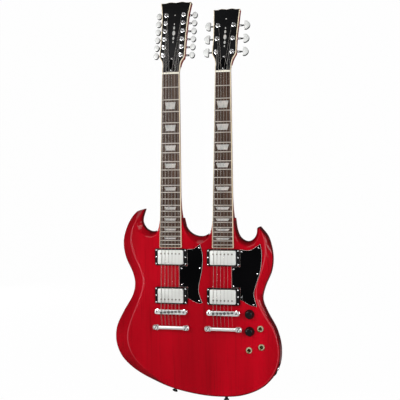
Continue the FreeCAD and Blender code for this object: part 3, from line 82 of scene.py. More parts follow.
# Places nearer than this are one place
SEAM = 0.002
NECK_SEAM = 0.01
WHITE = (1.0, 1.0, 1.0, 1.0)
# Height of a fully raised pattern, in metres
BUMP_HEIGHT = 0.0002
# Strings with a larger radius are wound
WOUND_FROM = 0.3

Piece = bpy.types.Object
Tree = bpy.types.NodeTree
Node = bpy.types.Node
Socket = bpy.types.NodeSocket
Flat = tuple[float, float]
Shares = tuple[tuple[float, ...], ...]


class Size(Enum):
    """The two necks."""

    TWELVE = "12"
    SIX = "6"


class Shading(Enum):
    """How a piece's faces are smoothed."""

    ROUND = 180.0
    SOFT = 50.0
    CRISP = 32.0


# Modelling bench: every piece is shaped with these


def named(name: str) -> Piece:
    """Name the object that an operator has just added.

    Args:
        name: The piece's name.

    Returns:
        The object.
    """
    made = bpy.context.object
    made.name = name
    made.data.name = name
    return made


def alone(made: Piece) -> Piece:
    """Select one object and no other.

    Args:
        made: The object.

    Returns:
        The object, selected and active.
    """
    bpy.ops.object.select_all(action="DESELECT")
    made.select_set(True)
    bpy.context.view_layer.objects.active = made
    return made


def linked(name: str, data: bpy.types.ID) -> Piece:
    """Put a mesh, a curve or a camera into the scene.

    Args:
        name: The object's name.
        data: What it shows.

    Returns:
        The object, selected and active.
    """
    made = bpy.data.objects.new(name, data)
    bpy.context.scene.collection.objects.link(made)
    return alone(made)


@contextmanager
def editing(made: Piece, kind: str = "VERT") -> Iterator[None]:
    """Open one object in edit mode with the selection that its mesh holds.

    Args:
        made: The object to edit.
        kind: VERT, EDGE or FACE, the kind that is selected.
    """
    alone(made)
    bpy.ops.object.mode_set(mode="EDIT")
    bpy.ops.mesh.select_mode(type=kind)
    yield
    bpy.ops.object.mode_set(mode="OBJECT")


def choose(made: Piece, kind: str, test: Callable) -> None:
    """Select the vertices, edges or faces that pass a test.

    Args:
        made: The object, in object mode.
        kind: "vertices", "edges" or "polygons".
        test: Takes the element and says whether it is wanted.
    """
    mesh = made.data
    for group in (mesh.vertices, mesh.edges, mesh.polygons):
        group.foreach_set("select", [False] * len(group))
    for item in getattr(mesh, kind):
        item.select = test(item)


def from_lists(name: str, points: Sequence, edges: Sequence, faces: Sequence) -> Piece:
    """Start a piece from a drawn profile or from rings.

    Args:
        name: The piece's name.
        points: Places in millimetres.
        edges: Pairs of places.
        faces: Loops of places.

    Returns:
        The object, linked and selected alone.
    """
    mesh = bpy.data.meshes.new(name)
    mesh.from_pydata([tuple(point) for point in points], list(edges), list(faces))
    return linked(name, mesh)


def outward(made: Piece) -> None:
    """Close seams and turn all faces outwards."""
    with editing(made):
        bpy.ops.mesh.select_all(action="SELECT")
        bpy.ops.mesh.remove_doubles(threshold=SEAM)
        bpy.ops.mesh.normals_make_consistent(inside=False)


def bevelled(made: Piece, test: Callable, width: float, steps: int = 2) -> None:
    """Round the edges that pass a test.

    Args:
        made: The object, in object mode.
        test: Takes an edge and says whether it is rounded.
        width: Width of the rounding.
        steps: Faces across it.
    """
    choose(made, "edges", test)
    with editing(made, "EDGE"):
        bpy.ops.mesh.bevel(offset=width, segments=steps, affect="EDGES", clamp_overlap=True)


def level_edges(made: Piece, *levels: float) -> Callable:
    """A test for edges that lie wholly at one of some depths."""
    points = made.data.vertices

    def test(edge: bpy.types.MeshEdge) -> bool:
        """Whether the edge lies at one of the depths."""
        depths = [points[index].co.y for index in edge.vertices]
        return any(all(abs(depth - level) < 1e-3 for depth in depths) for level in levels)

    return test


def plate(name: str, outline: Sequence, front: float, back: float, rim: float = 0.5,
          steps: int = 2, both: bool = False) -> Piece:
    """A flat piece: an outline across and along, from a front depth to a back one.

    Args:
        name: The piece's name.
        outline: Corners as (across, along).
        front: Depth of its face.
        back: Depth of its back.
        rim: Width of the rounding round its face.
        steps: Faces across the rounding.
        both: Whether the back's edge is rounded too.

    Returns:
        The plate.
    """
    bpy.ops.mesh.primitive_circle_add(vertices=len(outline), radius=1.0, fill_type="NGON")
    made = named(name)
    for vertex, (across, along) in zip(made.data.vertices, outline):
        vertex.co = (across, back, along)
    with editing(made, "FACE"):
        bpy.ops.mesh.select_all(action="SELECT")
        bpy.ops.mesh.extrude_region_move(TRANSFORM_OT_translate={"value": (0, front - back, 0)})
    outward(made)
    if rim:
        levels = (front, back) if both else (front,)
        bevelled(made, level_edges(made, *levels), rim, steps)
    return made


def turned(name: str, profile: Sequence, steps: int = 24) -> Piece:
    """A round piece spun about its own Z axis.

    Args:
        name: The piece's name.
        profile: (radius, height) pairs, closed at the axis or on themselves.
        steps: Faces round it.

    Returns:
        The turned piece.
    """
    points = [(radius, 0.0, height) for radius, height in profile]
    chain = [(i, i + 1) for i in range(len(points) - 1)]
    if profile[0][0] > 0:
        chain.append((len(points) - 1, 0))
    made = from_lists(name, points, chain, [])
    with editing(made):
        bpy.ops.mesh.select_all(action="SELECT")
        bpy.ops.mesh.spin(steps=steps, angle=2 * math.pi, center=(0, 0, 0), axis=(0, 0, 1))
    outward(made)
    return made


def skinned(name: str, rings: Sequence, looped: bool = False) -> Piece:
    """A form bridged from ring to ring, capped unless it closes on itself.

    Args:
        name: The piece's name.
        rings: Closed rings of places, all with the same count.
        looped: Whether the last ring joins the first.

    Returns:
        The form.
    """
    count = len(rings[0])
    points = [point for ring in rings for point in ring]
    faces = []
    for level in range(len(rings) if looped else len(rings) - 1):
        low, high = level * count, (level + 1) % len(rings) * count
        for step in range(count):
            after = (step + 1) % count
            faces.append((low + step, low + after, high + after, high + step))
    if not looped:
        faces.append(tuple(reversed(range(count))))
        faces.append(tuple(range(len(points) - count, len(points))))
    made = from_lists(name, points, [], faces)
    outward(made)
    return made


def piped(name: str, points: Sequence, radius: float, sides: int) -> Piece:
    """A round wire along a line of points.

    Args:
        name: The piece's name.
        points: The line.
        radius: The wire's radius.
        sides: How finely it is rounded.

    Returns:
        The wire as a mesh.
    """
    drawn = bpy.data.curves.new(name, "CURVE")
    drawn.dimensions = "3D"
    drawn.bevel_depth = radius
    drawn.bevel_resolution = sides
    drawn.use_fill_caps = True
    line = drawn.splines.new("POLY")
    line.points.add(len(points) - 1)
    for point, place in zip(line.points, points):
        point.co = (*place, 1.0)
    linked(name, drawn)
    bpy.ops.object.convert(target="MESH")
    return named(name)


def block(name: str, low: Sequence, high: Sequence, rim: float = 0.4, steps: int = 2) -> Piece:
    """A block with all its edges rounded.

    Args:
        name: The piece's name.
        low: Its lowest corner.
        high: Its highest corner.
        rim: Width of the rounding.
        steps: Faces across it.

    Returns:
        The block.
    """
    middle = [(a + b) / 2 for a, b in zip(low, high)]
    bpy.ops.mesh.primitive_cube_add(size=1.0, location=(0, 0, 0))
    made = named(name)
    spans = [b - a for a, b in zip(low, high)]
    made.data.transform(Matrix.Translation(middle) @ Matrix.Diagonal((*spans, 1.0)))
    if rim:
        bevelled(made, lambda edge: True, rim, steps)
    return made


def drill(radius: float, x: float, y: float, z: float) -> Piece:
    """A cutter for a round hole that runs from front to back.

    Args:
        radius: The hole's radius.
        x: Its place across.
        y: The depth of the cutter's middle.
        z: Its place along.

    Returns:
        The cutter, 20 mm long.
    """
    bpy.ops.mesh.primitive_cylinder_add(vertices=32, radius=radius, depth=20.0, location=(x, y, z),
                                        rotation=(math.pi / 2, 0, 0))
    bpy.ops.object.transform_apply(location=True, rotation=True, scale=True)
    return named("hole")


def waved(levels: Sequence, steps: int, radius: Callable) -> list[list[tuple[float, float, float]]]:
    """Rings about the Z axis whose radius changes from step to step.

    Args:
        levels: What each ring is made from, its height second.
        steps: Places round each ring.
        radius: Takes a level and a step and gives the radius.

    Returns:
        The rings.
    """
    turns = [(step, 2 * math.pi * step / steps) for step in range(steps)]
    return [[(radius(level, step) * math.cos(turn), radius(level, step) * math.sin(turn), level[1])
             for step, turn in turns] for level in levels]


def carved(made: Piece, *cutters: Piece) -> None:
    """Cut pieces out of another and remove them.

    Args:
        made: The piece that is cut.
        cutters: Closed forms that stand clear of each other.
    """
    for cutter in cutters:
        cut = made.modifiers.new("cut", "BOOLEAN")
        cut.operation = "DIFFERENCE"
        cut.solver = "EXACT"
        cut.object = cutter
        alone(made)
        bpy.ops.object.modifier_apply(modifier=cut.name)
        bpy.data.objects.remove(cutter, do_unlink=True)


def copied(source: Piece, name: str) -> Piece:
    """A copy of a piece with a mesh of its own."""
    made = source.copy()
    made.data = source.data.copy()
    made.name = name
    made.data.name = name
    bpy.context.scene.collection.objects.link(made)
    return made


def together(name: str, parts: Sequence) -> Piece:
    """Join parts into one piece that keeps their materials.

    Args:
        name: The piece's name.
        parts: The parts, which it takes in.

    Returns:
        The piece.
    """
    bpy.ops.object.select_all(action="DESELECT")
    for part in parts:
        part.select_set(True)
    bpy.context.view_layer.objects.active = parts[0]
    if len(parts) > 1:
        bpy.ops.object.join()
    return named(name)


def moved(made: Piece, place: Matrix) -> Piece:
    """Carry a piece's mesh to a place, in millimetres."""
    made.data.transform(place)
    if place.determinant() < 0:
        made.data.flip_normals()
    return made


def repeated(source: Piece, name: str, places: Sequence) -> Piece:
    """Copy a part to several places and join the copies.

    Args:
        source: The part, which is used up.
        name: The joined piece's name.
        places: Matrices, in millimetres.

    Returns:
        The joined piece.
    """
    copies = [moved(copied(source, name), place) for place in places]
    bpy.data.objects.remove(source, do_unlink=True)
    return together(name, copies)


# Drawing helpers


def rounded(corners: Sequence, radius: float, steps: int = 4) -> list[Vector]:
    """An outline with each corner turned into a short curve.

    Args:
        corners: The outline's corners.
        radius: How far before a corner its curve starts.
        steps: Straight steps in each curve.

    Returns:
        The rounded outline.
    """
    outline = []
    for index, corner in enumerate(corners):
        here = Vector(corner)
        into = Vector(corners[index - 1]) - here
        out = Vector(corners[(index + 1) % len(corners)]) - here
        start = here + into.normalized() * min(radius, into.length * 0.45)
        end = here + out.normalized() * min(radius, out.length * 0.45)
        for step in range(steps + 1):
            share = step / steps
            outline.append(start * (1 - share) ** 2 + here * 2 * share * (1 - share) + end * share**2)
    return outline


def oblong(width: float, height: float, centre: Flat = (0.0, 0.0)) -> list[Flat]:
    """Corners of a rectangle round a centre."""
    x, z = centre
    return [(x - width / 2, z - height / 2), (x + width / 2, z - height / 2),
            (x + width / 2, z + height / 2), (x - width / 2, z + height / 2)]


def flowing(points: Sequence, steps: int) -> list[Vector]:
    """A smooth line through points, with its own tangents at the ends.

    Args:
        points: The places that it passes.
        steps: Straight steps between two of them.

    Returns:
        The line, from the first place to the last.
    """
    places = [Vector(point) for point in points]
    tangents = []
    for index, place in enumerate(places):
        before = places[max(index - 1, 0)]
        after = places[min(index + 1, len(places) - 1)]
        reach = (after - place).length + (place - before).length
        tangents.append((after - before) / reach)
    line = [places[0]]
    for index in range(len(places) - 1):
        start, end = places[index], places[index + 1]
        reach = (end - start).length
        for step in range(1, steps + 1):
            t = step / steps
            line.append(start * (2 * t**3 - 3 * t**2 + 1) + tangents[index] * reach * (t**3 - 2 * t**2 + t)
                        + end * (3 * t**2 - 2 * t**3) + tangents[index + 1] * reach * (t**3 - t**2))
    return line


def across_body(share: float) -> float:
    """Place across the body of a share of its width."""
    return share * BODY_WIDTH


def up_body(share: float) -> float:
    """Height of a share of the body's length."""
    return BODY_FLOOR + share * BODY_LENGTH


def saddle_place(course: int) -> float:
    """How far a course's saddle stands past the saddle line."""
    return -3.0 + 1.8 * (1 - 2 * (5 - course) / 5)


def at(x: float, y: float, z: float) -> Matrix:
    """A plain shift."""
    return Matrix.Translation((x, y, z))


def about(axis: str, degrees: float) -> Matrix:
    """A turn about one axis."""
    return Matrix.Rotation(math.radians(degrees), 4, axis)


# A turned piece's Z points out of the front
OUT = about("X", 90.0)


# Finishes


def node(tree: Tree, kind: str, sockets: dict | None = None, **options: str) -> Node:
    """Add a shader node.

    Args:
        tree: The nodes that it joins.
        kind: Its type, after "ShaderNode".
        sockets: For each input, the socket that feeds it or its value.
        options: Settings of its own.

    Returns:
        The node.
    """
    made = tree.nodes.new("ShaderNode" + kind)
    for option, value in options.items():
        setattr(made, option, value)
    for socket, source in (sockets or {}).items():
        if isinstance(source, Socket):
            tree.links.new(source, made.inputs[socket])
        else:
            made.inputs[socket].default_value = source
    return made


def multiplied(tree: Tree, colour: Socket, layer: Socket,
               share: float) -> Socket:
    """A colour darkened by a layer's colour, by a share."""
    mix = node(tree, "Mix", {"Factor": share, "A": colour, "B": layer}, data_type="RGBA", blend_type="MULTIPLY")
    return mix.outputs["Result"]


@dataclass(frozen=True)
class Finish:
    """A painted, moulded or plated surface; subclasses add their own pattern."""

    name: str
    colour: tuple[float, float, float]
    roughness: float = 0.35
    metal: float = 0.0
    coat: float = 0.0
    grain_scale: float = 60.0
    variation: float = 0.12
    bump: float = 0.02
    specular: float = 0.5

    def material(self) -> bpy.types.Material:
        """The node material of this finish, made once.

        Returns:
            The material.
        """
        made = bpy.data.materials.get(self.name)
        if made:
            return made
        made = bpy.data.materials.new(self.name)
        made.use_nodes = True
        shader = made.node_tree.nodes["Principled BSDF"]
        for socket, value in (("Metallic", self.metal), ("Coat Weight", self.coat), ("Coat Roughness", 0.04),
                              ("Specular IOR Level", self.specular)):
            shader.inputs[socket].default_value = value
        self.pattern(made.node_tree, shader)
        return made

    def stretched(self, tree: Tree, scale: tuple = (1.0, 1.0, 1.0)) -> Socket:
        """Object coordinates, scaled along each axis."""
        source = node(tree, "TexCoord").outputs["Object"]
        return node(tree, "Mapping", {"Scale": scale, "Vector": source}).outputs["Vector"]

    def noise(self, tree: Tree, vector: Socket, scale: float,
              detail: float = 4.0) -> Socket:
        """A noise pattern's value, from 0 to 1."""
        return node(tree, "TexNoise", {"Scale": scale, "Detail": detail, "Vector": vector}).outputs["Fac"]

    def ramp(self, tree: Tree, value: Socket,
             stops: Sequence) -> Socket:
        """Colours along a value.

        Args:
            tree: The material's nodes.
            value: What they follow.
            stops: (position, colour) pairs, in order.

        Returns:
            The colour.
        """
        made = node(tree, "ValToRGB", {"Fac": value})
        points = made.color_ramp.elements
        while len(points) < len(stops):
            points.new(0.5)
        for point, (position, colour) in zip(points, stops):
            point.position = position
            point.color = (*colour, 1.0)
        return made.outputs["Color"]

    def ranged(self, tree: Tree, value: Socket, low: float,
               high: float) -> Socket:
        """A value spread between two others."""
        return node(tree, "MapRange", {"To Min": low, "To Max": high, "Value": value}).outputs["Result"]

    def raise_by(self, tree: Tree, shader: Node, value: Socket) -> None:
        """Let a pattern raise the surface a little."""
        made = node(tree, "Bump", {"Strength": self.bump, "Distance": BUMP_HEIGHT, "Height": value})
        tree.links.new(made.outputs["Normal"], shader.inputs["Normal"])

    def finished(self, tree: Tree, shader: Node, colour: Socket,
                 gloss: Socket, height: Socket) -> None:
        """Feed the shader.

        Args:
            tree: The material's nodes.
            shader: Its shader.
            colour: The surface's colour.
            gloss: Its roughness.
            height: The pattern that raises it.
        """
        tree.links.new(colour, shader.inputs["Base Color"])
        tree.links.new(gloss, shader.inputs["Roughness"])
        self.raise_by(tree, shader, height)

    def shade(self, factor: float) -> tuple[float, float, float]:
        """The colour, made darker or lighter."""
        return tuple(min(1.0, part * factor) for part in self.colour)

    def pattern(self, tree: Tree, shader: Node) -> None:
        """Fine variation of colour, gloss and height.

        Args:
            tree: The material's nodes.
            shader: Its shader.
        """
        vector = self.stretched(tree)
        fine = self.noise(tree, vector, self.grain_scale)
        broad = self.noise(tree, vector, self.grain_scale / 8, 2.0)
        stops = ((0.3, self.shade(1 - self.variation)), (0.7, self.shade(1 + self.variation)))
        gloss = self.ranged(tree, fine, self.roughness * 0.8, self.roughness * 1.25)
        self.finished(tree, shader, self.ramp(tree, broad, stops), gloss, fine)


@dataclass(frozen=True)
class Lacquer(Finish):
    """Clear coloured lacquer over straight-grained wood."""

    bright: tuple[float, float, float] = (0.60, 0.0, 0.016)
    # The crease colour, its share and the two depths paint a highlight along the bevel's crease
    crease: tuple[float, float, float] = (0.72, 0.16, 0.20)
    highlight_share: float = 0.0
    highlight_from: float = 0.01715
    highlight_to: float = 0.01800

    def pattern(self, tree: Tree, shader: Node) -> None:
        """Fine pores over broad bands of grain, under a flat coat.

        Args:
            tree: The material's nodes.
            shader: Its shader.
        """
        broad = self.noise(tree, self.stretched(tree, (16.0, 16.0, 1.6)), 1.0, 3.0)
        fine = self.noise(tree, self.stretched(tree, (240.0, 240.0, 7.0)), 1.0, 5.0)
        clouds = self.noise(tree, self.stretched(tree, (5.0, 5.0, 3.4)), 1.0, 2.0)
        colour = self.ramp(tree, broad, ((0.28, self.shade(0.80)), (0.5, self.colour), (0.72, self.bright)))
        pores = self.ramp(tree, fine, ((0.30, (0.62, 0.55, 0.55)), (0.46, (1.0, 1.0, 1.0))))
        stain = self.ramp(tree, clouds, ((0.30, (0.66, 0.60, 0.60)), (0.62, (1.0, 1.0, 1.0))))
        for layer in (pores, stain):
            colour = multiplied(tree, colour, layer, 0.6)
        # Painted shade on the walls, then a painted highlight along the crease
        if self.highlight_share:
            colour = self.highlighted_crease(tree, self.shaded_walls(tree, colour))
        gloss = self.ranged(tree, fine, self.roughness * 0.8, self.roughness * 1.2)
        self.finished(tree, shader, colour, gloss, fine)

    def shaded_walls(self, tree: Tree, colour: Socket) -> Socket:
        """Paint shade on the body's walls and on bevels that face up or down.

        Args:
            tree: The material's nodes.
            colour: The colour elsewhere.

        Returns:
            The colour, with painted shade at the body's edge.
        """
        share = node(tree, "Attribute", attribute_name="painted_wall_shade").outputs["Fac"]
        stops = ((0.0, (1, 1, 1)), (0.5, (0.42, 0.4, 0.42)), (1.0, (0.07, 0.06, 0.08)))
        return multiplied(tree, colour, self.ramp(tree, share, stops), 1.0)

    def highlighted_crease(self, tree: Tree, colour: Socket) -> Socket:
        """Paint a pale highlight along the bevel's crease.

        Args:
            tree: The material's nodes.
            colour: The colour elsewhere.

        Returns:
            The colour with a painted highlight along the crease.
        """
        side = node(tree, "SeparateXYZ", {0: self.stretched(tree)}).outputs["Y"]
        depth = node(tree, "Math", {0: side}, operation="ABSOLUTE").outputs[0]
        spread = node(tree, "MapRange", {"From Min": self.highlight_from, "From Max": self.highlight_to, "Value": depth})
        none, share = (0, 0, 0), (self.highlight_share,) * 3
        line = self.ramp(tree, spread.outputs[0], ((0.1, none), (0.5, share), (0.7, share), (0.95, none)))
        highlight = node(tree, "Attribute", attribute_name="crease_highlight").outputs["Fac"]
        both = node(tree, "Math", {0: line, 1: highlight}, operation="MULTIPLY").outputs[0]
        mix = node(tree, "Mix", {"Factor": both, "A": colour, "B": (*self.crease, 1.0)}, data_type="RGBA")
        return mix.outputs["Result"]


@dataclass(frozen=True)
class OpenGrain(Finish):
    """Dark oiled wood with open pores along the neck."""

    def pattern(self, tree: Tree, shader: Node) -> None:
        """Streaks and pores that run along the board.

        Args:
            tree: The material's nodes.
            shader: Its shader.
        """
        streaks = self.noise(tree, self.stretched(tree, (130.0, 130.0, 4.0)), 1.0, 6.0)
        pores = self.noise(tree, self.stretched(tree, (700.0, 700.0, 24.0)), 1.0, 3.0)
        wood = self.ramp(tree, streaks, ((0.25, self.shade(0.55)), (0.5, self.colour), (0.78, self.shade(1.7))))
        dark = self.ramp(tree, pores, ((0.34, (0.35, 0.3, 0.3)), (0.5, (1.0, 1.0, 1.0))))
        gloss = self.ranged(tree, pores, self.roughness, self.roughness * 0.7)
        self.finished(tree, shader, multiplied(tree, wood, dark, 0.8), gloss, pores)


@dataclass(frozen=True)
class Pearl(Finish):
    """Mother of pearl: soft patches of slightly different tints."""

    def pattern(self, tree: Tree, shader: Node) -> None:
        """Drifting patches, cool and warm.

        Args:
            tree: The material's nodes.
            shader: Its shader.
        """
        vector = self.stretched(tree)
        drift = self.noise(tree, vector, 90.0, 3.0)
        cells = node(tree, "TexVoronoi", {"Scale": 160.0, "Vector": vector}).outputs["Distance"]
        tint = self.ramp(tree, drift, ((0.3, (0.31, 0.33, 0.32)), (0.5, self.colour), (0.7, (0.54, 0.49, 0.46))))
        self.finished(tree, shader, tint, self.ranged(tree, cells, 0.18, 0.4), drift)


@dataclass(frozen=True)
class Wound(Finish):
    """A string wound with fine wire."""

    pitch: float = 900.0

    def pattern(self, tree: Tree, shader: Node) -> None:
        """Rings across the string.

        Args:
            tree: The material's nodes.
            shader: Its shader.
        """
        rings = node(tree, "TexWave", {"Scale": self.pitch, "Vector": self.stretched(tree)}, wave_type="BANDS",
                     bands_direction="Z").outputs["Fac"]
        stops = ((0.0, self.shade(0.6)), (0.6, self.colour), (1.0, self.shade(1.15)))
        self.finished(tree, shader, self.ramp(tree, rings, stops), self.ranged(tree, rings, 0.4, 0.22), rings)


# The body's lacquer, with painted shade on its walls and a painted highlight along its crease
CHERRY = Lacquer("cherry_lacquer", (0.385, 0.0, 0.007), 0.12, coat=0.10, bump=0.03, specular=0.06,
                 bright=(0.47, 0.0, 0.009), highlight_share=0.3)
NECK_CHERRY = Lacquer("neck_lacquer", (0.24, 0.0, 0.008), 0.2, coat=0.12, bump=0.03, specular=0.08,
                      bright=(0.32, 0.0, 0.01))
HEAD_BLACK = Finish("black_lacquer", (0.003, 0.003, 0.0035), 0.2, coat=0.03, variation=0.3, specular=0.06)
ROSEWOOD = OpenGrain("oiled_rosewood", (0.056, 0.031, 0.021), 0.5, bump=0.3, specular=0.08)
CREAM = Finish("cream_strip", (0.78, 0.66, 0.48), 0.35, variation=0.05)
PEARL = Pearl("shell_pearl", (0.44, 0.43, 0.41), 0.25, specular=0.2)
BONE = Finish("bone_nut", (0.80, 0.76, 0.64), 0.4, variation=0.06)
FRET = Finish("fret_wire", (0.63, 0.58, 0.52), 0.36, metal=1.0, variation=0.05)
CHROME = Finish("polished_chrome", (0.80, 0.80, 0.81), 0.07, metal=1.0, variation=0.03, bump=0.0)
NICKEL = Finish("satin_nickel", (0.69, 0.70, 0.67), 0.36, metal=0.4, variation=0.03, bump=0.01)
PLATED = Finish("bright_plate", (0.80, 0.81, 0.79), 0.2, metal=0.55, variation=0.03, bump=0.0)
BUTTON = Finish("tuner_plate", (0.60, 0.61, 0.60), 0.42, metal=0.3, variation=0.05, bump=0.01, specular=0.25)
BLACK_NICKEL = Finish("black_nickel", (0.06, 0.06, 0.06), 0.2, metal=1.0, variation=0.1)
# Painted shade: saddle sides, slot floors and the dark rings round the tailpiece studs
SHADOWED = Finish("painted_shade", (0.012, 0.012, 0.013), 0.45, variation=0.3, specular=0.2)
DARK_STEEL = Finish("dark_steel", (0.20, 0.19, 0.17), 0.35, metal=1.0, variation=0.15)
BLACK = Finish("moulded_black", (0.002, 0.002, 0.0023), 0.14, variation=0.3, specular=0.0)
KNOB_BLACK = Finish("gloss_black", (0.003, 0.003, 0.0035), 0.08, variation=0.3, bump=0.0, specular=0.25)
SATIN = Finish("moulded_satin", (0.004, 0.004, 0.0045), 0.3, variation=0.3, bump=0.08, specular=0.12)
WHITE_PLY = Finish("white_ply", (0.72, 0.70, 0.66), 0.4, variation=0.05)
GOLD = Finish("pale_gold", (0.78, 0.66, 0.47), 0.25, metal=0.6, variation=0.1)
OLIVE = Finish("aged_brass", (0.22, 0.20, 0.09), 0.3, metal=0.9, variation=0.25)
PLAIN_STRING = Finish("plain_steel", (0.50, 0.48, 0.46), 0.34, metal=1.0, variation=0.05)
WOUND_STRING = Wound("wound_steel", (0.44, 0.41, 0.38), 0.4, metal=1.0, bump=0.6)


def coated(made: Piece, finish: Finish, shading: Shading = Shading.CRISP) -> Piece:
    """Give a part its finish and smooth it.

    Args:
        made: The part.
        finish: Its finish.
        shading: How it is smoothed.

    Returns:
        The part.
    """
    made.data.materials.clear()
    made.data.materials.append(finish.material())
    alone(made)
    bpy.ops.object.shade_smooth_by_angle(angle=math.radians(shading.value))
    return made


def facing(made: Piece, low: float, high: float) -> None:
    """Give the faces that look so far forwards or back the part's second finish.

    Args:
        made: The part, which has two finishes.
        low: The least that their normals point back.
        high: The most.
    """
    for face in made.data.polygons:
        if low < face.normal.y < high:
            face.material_index = 1


def repainted(name: str, finish: Finish) -> None:
    """Give a node of the frame a finish."""
    shown = bpy.data.objects[name]
    shown.data.materials.clear()
    shown.data.materials.append(finish.material())


def seated(made: Piece, place: Matrix, slot: str, *nodes: str,
           body: str = BODY_NAME) -> Piece:
    """Set a finished piece in place in metres and tie it to its body.

    Args:
        made: The piece, in millimetres.
        place: Its place, in millimetres.
        slot: The record's material slot; not used.
        nodes: The nodes that it stands for.
        body: The body that it rides on.

    Returns:
        The piece.
    """
    moved(made, Matrix.Scale(MM, 4) @ place)
    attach(made, body)
    if nodes:
        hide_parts(*nodes)
    LOG.info("%s: %d faces on %s", made.name, len(made.data.polygons), body)
    return made


HERE = Matrix.Identity(4)


def screw_head(name: str, radius: float, height: float, finish: Finish, slots: int = 2) -> Piece:
    """A domed screw head with one slot or a cross, facing out of the front.

    Args:
        name: The part's name.
        radius: Its radius.
        height: How far it stands proud.
        finish: Its finish.
        slots: 1 for a slot, 2 for a cross.

    Returns:
        The head, its seat at the origin.
    """
    profile = ((0, -0.4), (radius, -0.4), (radius, height * 0.35), (radius * 0.75, height * 0.8), (0, height))
    made = turned(name, profile, 16)
    cuts = []
    for number in range(slots):
        reach = radius * (1.3 if slots == 1 else 0.62)
        cutter = block("slot", (-reach, -radius * 0.13, height * 0.35), (reach, radius * 0.13, height * 2), 0)
        cuts.append(moved(cutter, about("Z", 90.0 * number + 35.0)))
    carved(made, *cuts)
    return moved(coated(made, finish), OUT)


# Body


